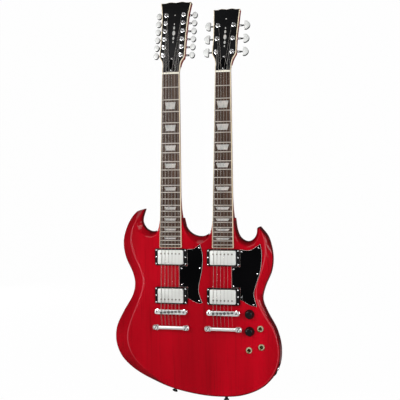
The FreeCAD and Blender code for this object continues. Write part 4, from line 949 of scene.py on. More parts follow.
@dataclass
class Body:
    """The solid body with its bevels, cut for what is set into it."""

    left_cutaway: Shares = (
        (-0.398, 0.887, -0.399, 0.869), (-0.438, 0.876, -0.440, 0.847),
        (-0.477, 0.893, -0.495, 0.863), (-0.498, 0.934, -0.520, 0.898))
    left_horn: tuple[float, ...] = (-0.479, 0.998, -0.523, 0.934)
    outer_edge: Shares = (
        (-0.532, 0.980, -0.532, 0.927), (-0.586, 0.911, -0.553, 0.885), (-0.613, 0.823, -0.561, 0.823),
        (-0.600, 0.738, -0.540, 0.748), (-0.558, 0.652, -0.498, 0.662), (-0.545, 0.592, -0.486, 0.598),
        (-0.562, 0.527, -0.503, 0.535), (-0.619, 0.439, -0.558, 0.410), (-0.663, 0.352, -0.584, 0.332),
        (-0.665, 0.264, -0.582, 0.262), (-0.621, 0.181, -0.545, 0.191), (-0.516, 0.106, -0.477, 0.131),
        (-0.350, 0.044, -0.347, 0.053), (-0.186, 0.010, -0.184, 0.019), (-0.033, 0.000, -0.033, 0.009),
        (0.109, 0.014, 0.106, 0.023), (0.236, 0.070, 0.230, 0.077), (0.309, 0.163, 0.300, 0.166),
        (0.324, 0.260, 0.315, 0.260), (0.300, 0.360, 0.291, 0.356), (0.245, 0.457, 0.231, 0.449),
        (0.221, 0.521, 0.196, 0.519), (0.236, 0.588, 0.195, 0.596), (0.274, 0.672, 0.225, 0.682),
        (0.282, 0.755, 0.245, 0.759), (0.258, 0.845, 0.240, 0.841))
    right_horn: tuple[float, ...] = (0.208, 0.904, 0.216, 0.893)
    right_tip: tuple[float, ...] = (0.196, 0.897, 0.213, 0.889)
    right_cutaway: Shares = (
        (0.191, 0.865, 0.202, 0.845), (0.168, 0.836, 0.175, 0.809), (0.131, 0.827, 0.129, 0.800),
        (0.094, 0.847, 0.084, 0.827), (0.072, 0.887, 0.069, 0.877))
    middle_cutaway: Shares = (
        (-0.077, 0.881, -0.077, 0.865), (-0.109, 0.857, -0.113, 0.825), (-0.155, 0.852, -0.155, 0.814),
        (-0.201, 0.869, -0.195, 0.835), (-0.234, 0.905, -0.230, 0.885))
    joint_height: float = 0.9472
    joints: tuple[float, ...] = (-0.3769, -0.2490, -0.0602, 0.0602)
    bevel_depth: float = 9.0
    crease: float = 3.2
    edge_round: float = 1.4
    corner_fade: float = 14.0
    # These bound where shade and a highlight are painted at the body's edge
    inner_reach: float = 8.0
    wall_reach: float = 1.2
    shade_ramp_depth: float = 3.0
    steps: int = 8
    lid: Shares = ((0.1094, 0.2113), (0.2538, 0.2113), (0.2538, 0.3602), (0.1926, 0.4809), (0.1094, 0.4809))

    def joint(self, number: int) -> tuple[float, ...]:
        """The corner where a cutaway meets the side of a neck."""
        place = (self.joints[number], self.joint_height)
        return place + place

    def spans(self) -> list[list[tuple[float, ...]]]:
        """The rows of each edge of the outline, from corner to corner."""
        return [
            [self.joint(0), *self.left_cutaway, self.left_horn],
            [self.left_horn, *self.outer_edge, self.right_horn],
            [self.right_horn, self.right_tip],
            [self.right_tip, *self.right_cutaway, self.joint(3)],
            [self.joint(3), self.joint(2)],
            [self.joint(2), *self.middle_cutaway, self.joint(1)],
            [self.joint(1), self.joint(0)],
        ]

    def stations(self) -> list[tuple[Vector, Vector, float]]:
        """Places round the edge.

        Returns:
            The edge's place, the bevel's inner place and the distance to the nearest corner.
        """
        places = []
        for rows in self.spans():
            outer = flowing([(across_body(a), up_body(b)) for a, b, _, _ in rows], self.steps)
            inner = flowing([(across_body(c), up_body(d)) for _, _, c, d in rows], self.steps)
            walked = [0.0]
            for one, two in zip(outer, outer[1:]):
                walked.append(walked[-1] + (two - one).length)
            for one, two, along in list(zip(outer, inner, walked))[:-1]:
                places.append((one, two, min(along, walked[-1] - along)))
        return places

    def section(self, outer: Vector, inner: Vector, aside: Vector, corner: float) -> list[tuple[Vector, float]]:
        """One half of the body's edge, from its flat to its wall.

        Args:
            outer: The edge's place.
            inner: The bevel's inner place.
            aside: Direction out of the body, where the bevel has no width.
            corner: Distance to the nearest corner.

        Returns:
            (place, depth) pairs.
        """
        width = (outer - inner).length
        drop = min(self.bevel_depth, max(1.0, 0.75 * width))
        slant = math.hypot(width, drop)
        out = (outer - inner) / width if width > 0.5 else aside
        fade = min(1.0, 0.06 + corner / self.corner_fade)
        first = min(self.crease * fade, 0.4 * slant)
        second = min(self.edge_round, 0.4 * slant)
        rows = [(inner - out * (first + 0.4 * fade), 0.0)]
        for step in range(5):
            t = step / 4
            rows.append((inner - out * first * (1 - t) ** 2 + (outer - inner) * (first / slant) * t * t,
                         drop * first / slant * t * t))
        for step in range(4):
            t = step / 3
            rows.append((outer - (outer - inner) * (second / slant) * (1 - t) ** 2,
                         drop - drop * second / slant * (1 - t) ** 2 + second * t * t))
        rows.append((outer, drop + second + 0.5))
        return rows

    def blank(self) -> Piece:
        """The uncut body.

        Returns:
            The blank, in millimetres.
        """
        stations = self.stations()
        count = len(stations)
        sections = []
        for index, (outer, inner, corner) in enumerate(stations):
            along = stations[(index + 1) % count][0] - stations[index - 1][0]
            aside = Vector((-along.y, along.x)).normalized()
            sections.append(self.section(outer, inner, aside, corner))
        depth = len(sections[0])
        rings = []
        for level in range(depth):
            rings.append([(s[level][0].x, FRONT + s[level][1], s[level][0].y) for s in sections])
        for level in reversed(range(depth)):
            rings.append([(s[level][0].x, BACK - s[level][1], s[level][0].y) for s in sections])
        return skinned("body_blank", rings)

    def lid_outline(self, reach: float) -> list[Vector]:
        """Outline of the control cavity's lid, set out by a distance."""
        corners = [Vector((across_body(x), up_body(z))) for x, z in self.lid]
        outline = []
        for index, here in enumerate(corners):
            before = (here - corners[index - 1]).normalized()
            after = (corners[(index + 1) % len(corners)] - here).normalized()
            one, two = Vector((before.y, -before.x)), Vector((after.y, -after.x))
            outline.append(here + (one + two) * reach / (1 + one.dot(two)))
        return rounded(outline, 4.0)

    def build(self) -> None:
        """Make the body and cut its seats and holes."""
        made = self.blank()
        cutters = [plate("seat", self.lid_outline(5.0), BACK - 2.0, BACK + 4.0, 0)]
        for radius, places in ((4.9, Controls.knobs), (6.0, Controls.switches)):
            cutters += [drill(radius, x, FRONT - 1.0, z) for x, z in places]
        flat = block("flat", (-19.3, -13.3, 0), (19.3, 13.3, 40), 0)
        cutters.append(moved(flat, JACK_PLACE))
        for place in STRAP_PLACES:
            foot = turned("foot", ((0, 0), (6.8, 0), (6.8, 11), (0, 11)), 32)
            cutters.append(moved(foot, place))
        carved(made, *cutters)
        made.name = "body_shell"
        self.marked(made)
        seated(coated(made, CHERRY), HERE, "body_wood", "body")

    def marked(self, made: Piece) -> None:
        """Note on the mesh where a highlight is painted along the crease and where shade is painted on the walls.

        Args:
            made: The finished body.
        """
        stations = self.stations()
        first = self.steps * (len(self.left_cutaway) + 1)
        last = first + self.steps * (len(self.outer_edge) + 1)
        tree = KDTree(len(stations))
        for index, (outer, _, _) in enumerate(stations):
            tree.insert((outer.x, 0, outer.y), index)
        tree.balance()
        # Masks for the painted highlight along the crease and the painted shade on the walls
        highlight = made.data.attributes.new("crease_highlight", "FLOAT", "POINT")
        grain = made.data.attributes.new("painted_wall_shade", "FLOAT", "POINT")
        low, high = CAD_BOX[0][0] / MM, CAD_BOX[1][0] / MM
        for vertex in made.data.vertices:
            vertex.co.x = min(max(vertex.co.x, low), high)
            _, index, _ = tree.find((vertex.co.x, 0, vertex.co.z))
            along = (stations[(index + 1) % len(stations)][0] - stations[index - 1][0]).normalized()
            end_on = abs(along.x)
            outer, inner, _ = stations[index]
            reach = (Vector((vertex.co.x, vertex.co.z)) - outer).length
            if reach > (outer - inner).length + self.inner_reach:
                continue
            # Painted highlight along the outer edge's crease, fading where the edge runs across
            if first < index < last:
                highlight.data[vertex.index].value = max(0.0, 1.0 - 1.15 * end_on**2)
            # Painted shade, darkest on the walls and where the edge runs across
            depth = BACK - abs(vertex.co.y)
            if depth > 0.05:
                slope = min(1.0, (depth - 0.05) / self.shade_ramp_depth)
                wall = reach < self.wall_reach and depth > 2.0
                grain.data[vertex.index].value = (0.42 + 0.5 * end_on) if wall else 0.45 * end_on * slope


JACK_PLACE = at(137.51, 0, 90.02) @ about("Y", 110.0)
STRAP_PLACES = (at(0, 0, BODY_FLOOR) @ about("X", 180.0), at(-139.02, 0, 27.5) @ about("Y", 200.0))


# Necks


@dataclass
class Neck:
    """One neck: board, frets, inlays, nut, head and what stands on it."""

    size: Size
    centre: float
    nut_width: float
    heel_width: float
    head_length: float
    head_width: float
    head_side: Shares
    post_offset: float
    post_start: float
    post_pitch: float
    rows: int
    button_centre: float
    button_width: float
    button_length: float
    marker_wide: float
    marker_narrow: float
    nut_span: float
    crest: Shares = ((0.987, 0.706), (1.000, 0.400), (0.989, 0.000))
    binding: float = 1.6
    marked: tuple[int, ...] = (3, 5, 7, 9, 12, 15, 17, 19, 21)

    @property
    def tag(self) -> str:
        """The neck's name in the frame."""
        return self.size.value

    @property
    def place(self) -> Matrix:
        """The neck's own frame, at the saddle line."""
        return at(self.centre, -36.0, SADDLE_LINE) @ Matrix.Rotation(NECK_ANGLE, 4, "X")

    @property
    def head_place(self) -> Matrix:
        """The head's frame, at the nut's far edge."""
        return self.place @ at(0, 5.6, SCALE + NUT_THICKNESS) @ Matrix.Rotation(HEAD_ANGLE, 4, "X")

    def half_width(self, distance: float) -> float:
        """Half of the board's width at a distance from the saddle line."""
        share = (SCALE - distance) / (SCALE - BOARD_END)
        return (self.nut_width + (self.heel_width - self.nut_width) * share) / 2

    @staticmethod
    def drop(x: float) -> float:
        """How far the crowned face lies behind its middle."""
        return x * x / (2 * BOARD_RADIUS)

    def board(self) -> None:
        """The rosewood board and its cream binding."""
        rings, edges = [], {-1: [], 1: []}
        for distance in (BOARD_END, (BOARD_END + SCALE) / 2, SCALE):
            half = self.half_width(distance)
            inner = half - self.binding
            xs = [inner * (2 * step / 14 - 1) for step in range(15)]
            rings.append([(x, BOARD_FACE + self.drop(x), distance) for x in xs]
                         + [(inner, BOARD_BACK, distance), (-inner, BOARD_BACK, distance)])
            for side in (-1, 1):
                edges[side].append([
                    (side * inner, BOARD_FACE + self.drop(inner), distance),
                    (side * (half - 0.5), BOARD_FACE + self.drop(half), distance),
                    (side * half, BOARD_FACE + self.drop(half) + 0.5, distance),
                    (side * half, BOARD_BACK, distance),
                    (side * inner, BOARD_BACK, distance)])
        board = coated(skinned("board_" + self.tag, rings), ROSEWOOD)
        seated(board, self.place, "rosewood", "fingerboards")
        strips = [skinned("binding", edges[side]) for side in (-1, 1)]
        half = self.half_width(BOARD_END)
        low, high = (-half, BOARD_FACE + 1.2, BOARD_END - 1.2), (half, BOARD_BACK, BOARD_END)
        strips.append(block("binding", low, high, 0.3))
        binding = coated(together("binding_" + self.tag, strips), CREAM)
        seated(binding, self.place, "cream_binding", "board_bindings")

    def frets(self) -> None:
        """Crowned fret wires that lie on the board's own curve."""
        wires = []
        for number in range(1, 23):
            distance = SCALE * 2 ** (-number / 12)
            reach = self.half_width(distance) - 0.4
            rings = []
            for step in range(11):
                x = reach * (2 * step / 10 - 1)
                fade = 1.0 if 0 < step < 10 else 0.45
                face = BOARD_FACE + self.drop(x)
                rings.append([(x, face + 0.2, distance - 1.15), (x, face - 0.55 * fade, distance - 0.95),
                              (x, face - 1.0 * fade, distance - 0.4), (x, face - 1.0 * fade, distance + 0.4),
                              (x, face - 0.55 * fade, distance + 0.95), (x, face + 0.2, distance + 1.15)])
            wires.append(skinned("fret", rings))
        made = coated(together("frets_" + self.tag, wires), FRET, Shading.ROUND)
        seated(made, self.place, "fret_metal", "frets")

    def markers(self) -> None:
        """Pearl trapezoids, flush with the crowned board."""
        plates = []
        for number in self.marked:
            low, high = SCALE * 2 ** (-number / 12), SCALE * 2 ** (-(number - 1) / 12)
            middle = (low + high) / 2
            reach = (high - low) * (0.58 - 0.011 * (number - 3)) / 2
            width = self.half_width(middle)
            rings = []
            for step in range(9):
                share = 2 * step / 8 - 1
                narrow, wide = share * width * self.marker_narrow, share * width * self.marker_wide
                rings.append([
                    (narrow, BOARD_FACE + self.drop(narrow) - 0.04, middle - reach),
                    (wide, BOARD_FACE + self.drop(wide) - 0.04, middle + reach),
                    (wide, BOARD_FACE + 1.2, middle + reach),
                    (narrow, BOARD_FACE + 1.2, middle - reach)])
            plates.append(skinned("marker", rings))
        made = coated(together("markers_" + self.tag, plates), PEARL)
        seated(made, self.place, "pearl", "fret_markers")

    def string_nut(self) -> None:
        """The nut, rounded over and notched for its strings."""
        half = self.half_width(SCALE)
        rings = []
        for step in range(13):
            x = half * (2 * step / 12 - 1)
            face = STRING_LEVEL + self.drop(x)
            rings.append([(x, BOARD_BACK, SCALE), (x, face, SCALE), (x, face, SCALE + 2.6),
                          (x, face + 0.5, SCALE + 4.0), (x, face + 1.6, SCALE + 4.8),
                          (x, BOARD_BACK, SCALE + NUT_THICKNESS)])
        made = skinned("string_nut_" + self.tag, rings)
        cuts = []
        for _, _, nut_x, radius, _, _ in self.string_rows():
            face = STRING_LEVEL + self.drop(nut_x)
            cuts.append(block("notch", (nut_x - radius - 0.15, face - 2, SCALE - 1),
                              (nut_x + radius + 0.15, face + 0.02, SCALE + 6), 0))
        carved(made, *cuts)
        seated(coated(made, BONE), self.place, "nut_white", "string_nuts")

    def neck_wood(self) -> None:
        """The neck itself, copied from its node with its seams closed and its faces smoothed."""
        node = bpy.data.objects["neck_" + self.tag]
        made = copied(node, "neck_wood_" + self.tag)
        made.parent = None
        made.matrix_world = HERE
        made.data.transform(Matrix.Scale(1 / MM, 4))
        with editing(made):
            bpy.ops.mesh.select_all(action="SELECT")
            bpy.ops.mesh.remove_doubles(threshold=NECK_SEAM)
        seated(coated(made, NECK_CHERRY), HERE, "neck_wood", "neck_" + self.tag)

    def head_outline(self, inset: float = 0.0) -> list[Vector]:
        """The head's outline from its right throat over its crest to its left throat.

        Args:
            inset: How far it is drawn in.

        Returns:
            Places as (across, along).
        """
        half = self.head_width / 2
        side = flowing([(w * half, t * self.head_length) for t, w in self.head_side], 5)
        crest = flowing([(w * half, t * self.head_length) for t, w in (self.head_side[-1], *self.crest)], 4)
        right = side + crest[1:]
        throat = Vector((self.half_width(SCALE), 0.5))
        right = flowing([throat, (side[0] + throat) / 2 + Vector((0.6, 0)), side[0]], 3)[:-1] + right
        if inset:
            drawn = []
            for index, here in enumerate(right):
                along = (right[min(index + 1, len(right) - 1)] - right[max(index - 1, 0)]).normalized()
                thin = 0.3 if here.y > self.head_length * 0.983 else 1.0
                drawn.append(here + Vector((-along.y, along.x)) * inset * thin)
            drawn[-1].x = 0.0
            right = drawn
        return right + [Vector((-p.x, p.y)) for p in reversed(right[:-1])]

    def head_face(self) -> None:
        """The black face with its binding and a plain pearl column."""
        outline = self.head_outline(1.7)
        face = plate("head_face", outline, -0.35, 0.3, 0.12, 1)
        face = coated(together("head_face_" + self.tag, [face]), HEAD_BLACK)
        seated(face, self.head_place, "neck_wood")
        outer = self.head_outline(-0.05)
        inner = self.head_outline(1.75)
        rings = []
        for one, two in zip(outer, inner):
            rings.append([(one.x, 3.6, one.y), (one.x, -0.15, one.y),
                          (one.x * 0.8 + two.x * 0.2, -0.4, one.y * 0.8 + two.y * 0.2),
                          (two.x, -0.4, two.y), (two.x, 3.6, two.y)])
        trim = coated(skinned("head_binding_" + self.tag, rings), CREAM)
        seated(trim, self.head_place, "cream_binding")
        ovals = []
        middle = self.post_start + self.post_pitch * (self.rows - 1) * 0.55
        for offset, width, height in ((-26, 3.0, 5.0), (-15, 5.0, 9.0), (0, 8.0, 14.0), (15, 5.0, 9.0),
                                      (26, 3.0, 5.0), (52, 3.4, 3.4)):
            rim = [(width / 2 * math.cos(a), middle + offset + height / 2 * math.sin(a))
                   for a in [2 * math.pi * step / 28 for step in range(28)]]
            if rim[7][1] < self.head_length * 0.95:
                ovals.append(plate("oval", rim, -0.42, 0.2, 0.05, 1))
        made = coated(together("head_inlay_" + self.tag, ovals), PEARL)
        seated(made, self.head_place, "pearl")

    def posts(self) -> list[tuple[int, float, float]]:
        """Side, place across and place along of each post."""
        return [(side, side * self.post_offset, self.post_start + row * self.post_pitch)
                for side in (-1, 1) for row in range(self.rows)]

    def string_rows(self) -> list[tuple[float, float, float, float, tuple[int, float, float], int]]:
        """Place on the bridge, shift, place at the nut, radius, post and course of each string."""
        posts = self.posts()
        count = 2 * self.rows
        made = []
        for course in range(6):
            share = course / 5
            radius = 0.58 + (0.15 - 0.58) * share
            radii = (0.16, radius) if self.size is Size.TWELVE else (radius,)
            for member, thick in enumerate(radii):
                shift = (member - (len(radii) - 1) / 2) * 2.4 if len(radii) > 1 else 0.0
                number = len(made)
                post = posts[number] if number < self.rows else posts[self.rows + count - 1 - number]
                nut_x = (share - 0.5) * self.nut_span + shift
                made.append(((share - 0.5) * STRING_SPREAD, shift, nut_x, thick, post, course))
        return made

    def strings(self) -> None:
        """Each string from the tailpiece over its saddle and nut to its post."""
        wound, plain = [], []
        for course_x, shift, nut_x, radius, (side, across, along), course in self.string_rows():
            level = STRING_LEVEL - radius
            saddle_z = saddle_place(course)
            tail = Vector((self.centre + course_x + shift, FRONT - 5.0 - 5.0, SADDLE_LINE - 45.0 + 6.0))
            saddle = self.place @ Vector((course_x + shift, level + self.drop(course_x), saddle_z))
            nut = self.place @ Vector((nut_x, level + self.drop(nut_x), SCALE + 2.5))
            edge = self.place @ Vector((nut_x, level + self.drop(nut_x) + 0.45, SCALE + NUT_THICKNESS))
            post = self.head_place @ Vector((across - side * (3.0 + radius + 0.1), -6.0, along))
            wire = piped("wire", [tail, saddle, nut, edge, post], radius, 2)
            (wound if radius > WOUND_FROM else plain).append(wire)
        for name, wires, finish in (("wound", wound, WOUND_STRING), ("plain", plain, PLAIN_STRING)):
            made = together("strings_%s_%s" % (name, self.tag), wires)
            seated(coated(made, finish, Shading.ROUND), HERE, "string_metal", "strings")

    def tuners(self) -> None:
        """Posts with their windings, bushings, housings, shafts and buttons."""
        radii = {row[4]: row[3] for row in self.string_rows()}
        bushings, cups = [], []
        for number, post in enumerate(self.posts(), start=1):
            side, across, along = post
            label = "%s_%02d" % (self.tag, number)
            profile = ((0, -21), (2.95, -21), (2.95, 4.2), (2.55, 4.8), (2.35, 6.0), (2.55, 7.2), (2.95, 7.8),
                       (2.95, 9.5), (2.5, 10.0), (1.2, 10.0), (1.0, 9.4), (0, 9.4))
            pin = coated(moved(turned("pin", profile, 20), OUT), CHROME)
            radius = radii[post]
            ring = 2.75 + radius
            coil = []
            for step in range(49):
                angle = side * 2 * math.pi * step / 16
                coil.append((-side * ring * math.cos(angle), -6.0 + (radius * 2.1) * step / 16 * 0.8,
                             ring * math.sin(angle)))
            finish = WOUND_STRING if radius > WOUND_FROM else PLAIN_STRING
            wrap = coated(piped("wrap", coil, radius, 1), finish, Shading.ROUND)
            made = together("post_" + label, [pin, wrap])
            seated(made, self.head_place @ at(across, 0, along), "chrome", "string_post_" + label,
                   body="string_post_" + label)
            bushings.append(at(across, 0, along))
            cups.append(at(across, 0, along) @ (HERE if side > 0 else Matrix.Scale(-1, 4, (1, 0, 0))))
            self.button(label, side, along)
        washer = turned("washer", ((3.3, -0.2), (3.3, 2.2), (4.0, 2.4), (4.5, 2.0), (4.6, 0.9), (5.7, 0.8),
                                   (6.1, 0.5), (6.1, -0.2)), 24)
        washer = coated(moved(washer, OUT), CHROME)
        made = repeated(washer, "post_bushings_" + self.tag, bushings)
        seated(made, self.head_place @ at(0, -0.35, 0), "chrome")
        cup = block("cup", (-6.5, 14.0, -6.0), (6.5, 23.0, 12.0), 1.4, 4)
        neck = turned("neck", ((1.95, 0), (3.0, 0), (3.0, 8.6), (2.6, 9.4), (1.95, 9.4)), 20)
        neck = moved(neck, at(6.3, WORM_DEPTH, WORM_OFFSET) @ about("Y", 90.0))
        lug = turned("lug", ((0, 0), (2.6, 0), (2.6, 1.4), (0, 1.4)), 20)
        lugs = [moved(copied(lug, "lug"), at(0, 15.6, z) @ about("X", -90.0) @ at(0, 0, -1.6))
                for z in (-8.2, 14.2)]
        bpy.data.objects.remove(lug, do_unlink=True)
        parts = [coated(part, CHROME) for part in (cup, neck, *lugs)]
        made = repeated(together("housing", parts), "tuner_housings_" + self.tag, cups)
        seated(made, self.head_place, "chrome", "tuner_housings")

    def button(self, label: str, side: int, along: float) -> None:
        """A tuning button with its shaft.

        Args:
            label: Its number in the frame.
            side: Which side of the head it is on.
            along: Its post's place along the head.
        """
        outline = []
        for step in range(36):
            angle = 2 * math.pi * step / 36
            if self.size is Size.TWELVE:
                outline.append((self.button_width / 2 * math.cos(angle), self.button_length / 2 * math.sin(angle)))
            else:
                half = self.button_length / 2
                outline.append((half * max(math.cos(angle), -0.25), half * math.sin(angle)))
        grip = plate("grip", outline, -3.4, 3.4, 2.6, 5, both=True)
        reach = self.button_centre - self.post_offset + 3.0
        shaft = turned("shaft", ((0, 0), (1.75, 0), (1.75, reach - 12), (2.6, reach - 11.4), (2.6, reach - 9.4),
                                 (2.0, reach - 9.0), (2.0, reach - 3), (0, reach - 3)), 16)
        shaft = moved(shaft, at(-reach, 0, 0) @ about("Y", 90.0))
        coated(grip, BUTTON, Shading.SOFT)
        # Painted dark reflection on the button's rim: faces that look sideways take dark black nickel
        grip.data.materials.append(BLACK_NICKEL.material())
        facing(grip, -0.35, 0.35)
        made = together("button_" + label, [grip, coated(shaft, BLACK_NICKEL)])
        turn = HERE if side > 0 else about("Y", 180.0)
        place = self.head_place @ at(side * self.button_centre, WORM_DEPTH, along + WORM_OFFSET) @ turn
        name = "tuner_button_" + label
        seated(made, place, "chrome", name, body=name)

    def build(self) -> None:
        """Make the whole neck."""
        for step in (self.neck_wood, self.board, self.frets, self.markers, self.string_nut, self.head_face,
                     self.strings, self.tuners):
            step()


TWELVE = Neck(
    Size.TWELVE, -143.0, 48.0, 60.5, 203.0, 85.0,
    ((0.089, 0.576), (0.150, 0.632), (0.217, 0.807), (0.419, 0.812), (0.616, 0.833), (0.813, 0.878),
     (0.990, 1.000)),
    24.3, 48.4, 23.2, 6, 50.5, 14.5, 17.5, 0.58, 0.45, 39.5)
SIX = Neck(
    Size.SIX, 0.0, 42.5, 57.5, 175.0, 72.0,
    ((0.103, 0.597), (0.180, 0.686), (0.274, 0.897), (0.480, 0.886), (0.726, 0.931), (0.857, 0.966),
     (0.989, 1.000)),
    21.3, 52.4, 37.5, 3, 49.5, 15.0, 24.0, 0.70, 0.53, 36.0)
NECKS = (TWELVE, SIX)


# Hardware on the body


@dataclass
class Pickups:
    """Four covered pickups in their rings."""

    heights: tuple[tuple[float, float, float, float], ...] = ((379.03, 9.0, 5.0, 9.5), (276.99, 13.0, 8.5, -9.5))
    cover: Flat = (70.0, 38.0)
    ring: Flat = (89.0, 45.0)
    screw_x: float = 40.5
    screw_z: float = 18.0

    def build(self) -> None:
        """Make the covers, poles, rings and screws."""
        shells, poles, screws = [], [], []
        spots = [(at(neck.centre, 0, z), *rises) for neck in NECKS for z, *rises in self.heights]
        for place, rise, ring_rise, row in spots:
            cover = plate("cover", rounded(oblong(*self.cover), 4.2, 6), FRONT - rise, FRONT, 1.5, 4)
            shells.append(moved(cover, place))
            poles += [place @ at((course / 5 - 0.5) * STRING_SPREAD, FRONT - rise, row) for course in range(6)]
            screws += [place @ at(x * self.screw_x, FRONT - ring_rise + 0.2, dz * self.screw_z)
                       for x, dz in ((-1, -1), (1, -1), (-1, 1), (1, 1), (-1, 0), (1, 0))]
        seated(coated(together("pickup_covers", shells), NICKEL), HERE, "nickel_cover", "pickups")
        seated(repeated(screw_head("pole", 2.3, 0.5, DARK_STEEL, 1), "pole_screws", poles), HERE, "rod_steel")
        frames = []
        inner = rounded(oblong(self.cover[0] + 1.2, self.cover[1] + 1.2), 3.0, 4)
        outer = rounded(oblong(*self.ring), 5.0, 4)
        for place, _, rise, _ in spots:
            steps = ((0.0, FRONT + 0.1), (0.02, FRONT - rise * 0.55), (0.1, FRONT - rise * 0.9),
                     (0.2, FRONT - rise), (0.93, FRONT - rise), (1.0, FRONT - rise + 0.5), (1.0, FRONT + 0.1))
            loops = [[(o.x + (i.x - o.x) * s, y, o.y + (i.y - o.y) * s) for o, i in zip(outer, inner)]
                     for s, y in steps]
            frames.append(moved(skinned("ring", loops, looped=True), place))
        seated(coated(together("pickup_frames", frames), SATIN), HERE, "black_plastic", "pickup_rings")
        seated(repeated(screw_head("ring_screw", 1.9, 0.7, CHROME), "ring_screws", screws), HERE, "chrome")


@dataclass
class Bridges:
    """Two bridges with six saddles each, on posts with thumb wheels."""

    middle: float = SADDLE_LINE - 3.0
    front: float = -33.5
    back: float = -27.0
    length: float = 87.0
    width: float = 12.0
    channel: float = 1.2

    def bar(self) -> Piece:
        """The bar with its channel."""
        outline = rounded(oblong(self.length, self.width), 5.9, 8)
        made = plate("bar", outline, self.front, self.back, 0.8, 3)
        carved(made, block("channel", (-32, self.front - 3, -4.5), (32, self.front + self.channel, 4.5), 0))
        return coated(made, PLATED)

    def saddle(self, course: int) -> list[Piece]:
        """A notched saddle with its screw.

        Args:
            course: Its number from the left.

        Returns:
            Its parts.
        """
        x = (course / 5 - 0.5) * STRING_SPREAD
        crest = SIX.place @ Vector((x, STRING_LEVEL + Neck.drop(x), saddle_place(course)))
        z = crest.z - self.middle
        low = self.front + self.channel
        face = min(max(z, -2.0), 2.0)
        rings = []
        shoulder = crest.y + 1.7
        for edge, lift in ((-3.3, 0.45), (-2.9, 0.0), (-0.6, 0.0), (0.0, 0.3), (0.6, 0.0), (2.9, 0.0),
                           (3.3, 0.45)):
            rings.append([(x + edge, low, face - 2.4), (x + edge, low, face + 2.4),
                          (x + edge, shoulder, face + 2.4), (x + edge, crest.y + lift, z + 0.5),
                          (x + edge, crest.y + lift, z - 0.5), (x + edge, shoulder, face - 2.4)])
        # Painted shade: the saddle is dark all over but for the faces that look straight out, which are chrome
        body = coated(skinned("saddle", rings), SHADOWED)
        body.data.materials.append(CHROME.material())
        facing(body, -1.1, -0.95)
        screw = turned("saddle_screw", ((0, 0), (1.9, 0), (1.9, 1.2), (1.4, 1.6), (0, 1.6)), 14)
        carved(screw, block("slot", (-2.5, -0.3, 1.0), (2.5, 0.3, 2.5), 0))
        screw = moved(screw, at(x, self.front + 1.6, -self.width / 2 + 0.3) @ about("X", 180.0))
        rod = piped("rod", [(x, self.front + 1.8, -5.0), (x, self.front + 1.8, 4.6)], 0.75, 2)
        return [body, coated(screw, DARK_STEEL), coated(rod, DARK_STEEL)]

    def post(self, side: int) -> list[Piece]:
        """A post with its knurled wheel and slotted top."""
        x = side * 37.0
        wheel = waved(((0.9, 9.0), (1.0, 8.6), (1.0, 7.2), (0.9, 6.9)), 64,
                      lambda level, step: (7.3 + 0.25 * (step % 2)) * level[0])
        disc = coated(moved(skinned("wheel", wheel), at(x, FRONT, 0) @ OUT), CHROME)
        shank = turned("shank", ((0, -3), (2.5, -3), (2.5, 7.2), (0, 7.2)), 16)
        shank = coated(moved(shank, at(x, FRONT, 0) @ OUT), CHROME)
        top = turned("top", ((0, -1), (3.1, -1), (3.1, 0.5), (2.6, 0.9), (0, 0.9)), 20)
        carved(top, block("slot", (-4, -0.55, 0.25), (4, 0.55, 2), 0))
        place = at(x, self.front, 0) @ OUT @ about("Z", 25.0 * side)
        top = coated(moved(top, place), CHROME)
        # Painted shade on the slot's floor
        slot = coated(moved(block("slot_floor", (-2.5, -0.54, 0.1), (2.5, 0.54, 0.35), 0), place), SHADOWED)
        return [disc, shank, top, slot]

    def build(self) -> None:
        """Make one bridge and copy it to the other neck."""
        parts = [self.bar()]
        for course in range(6):
            parts += self.saddle(course)
        parts += self.post(-1) + self.post(1)
        one = moved(together("bridge_6", parts), at(0, 0, self.middle))
        two = moved(copied(one, "bridge_12"), at(TWELVE.centre, 0, 0))
        for made in (one, two):
            seated(made, HERE, "chrome", "bridges")


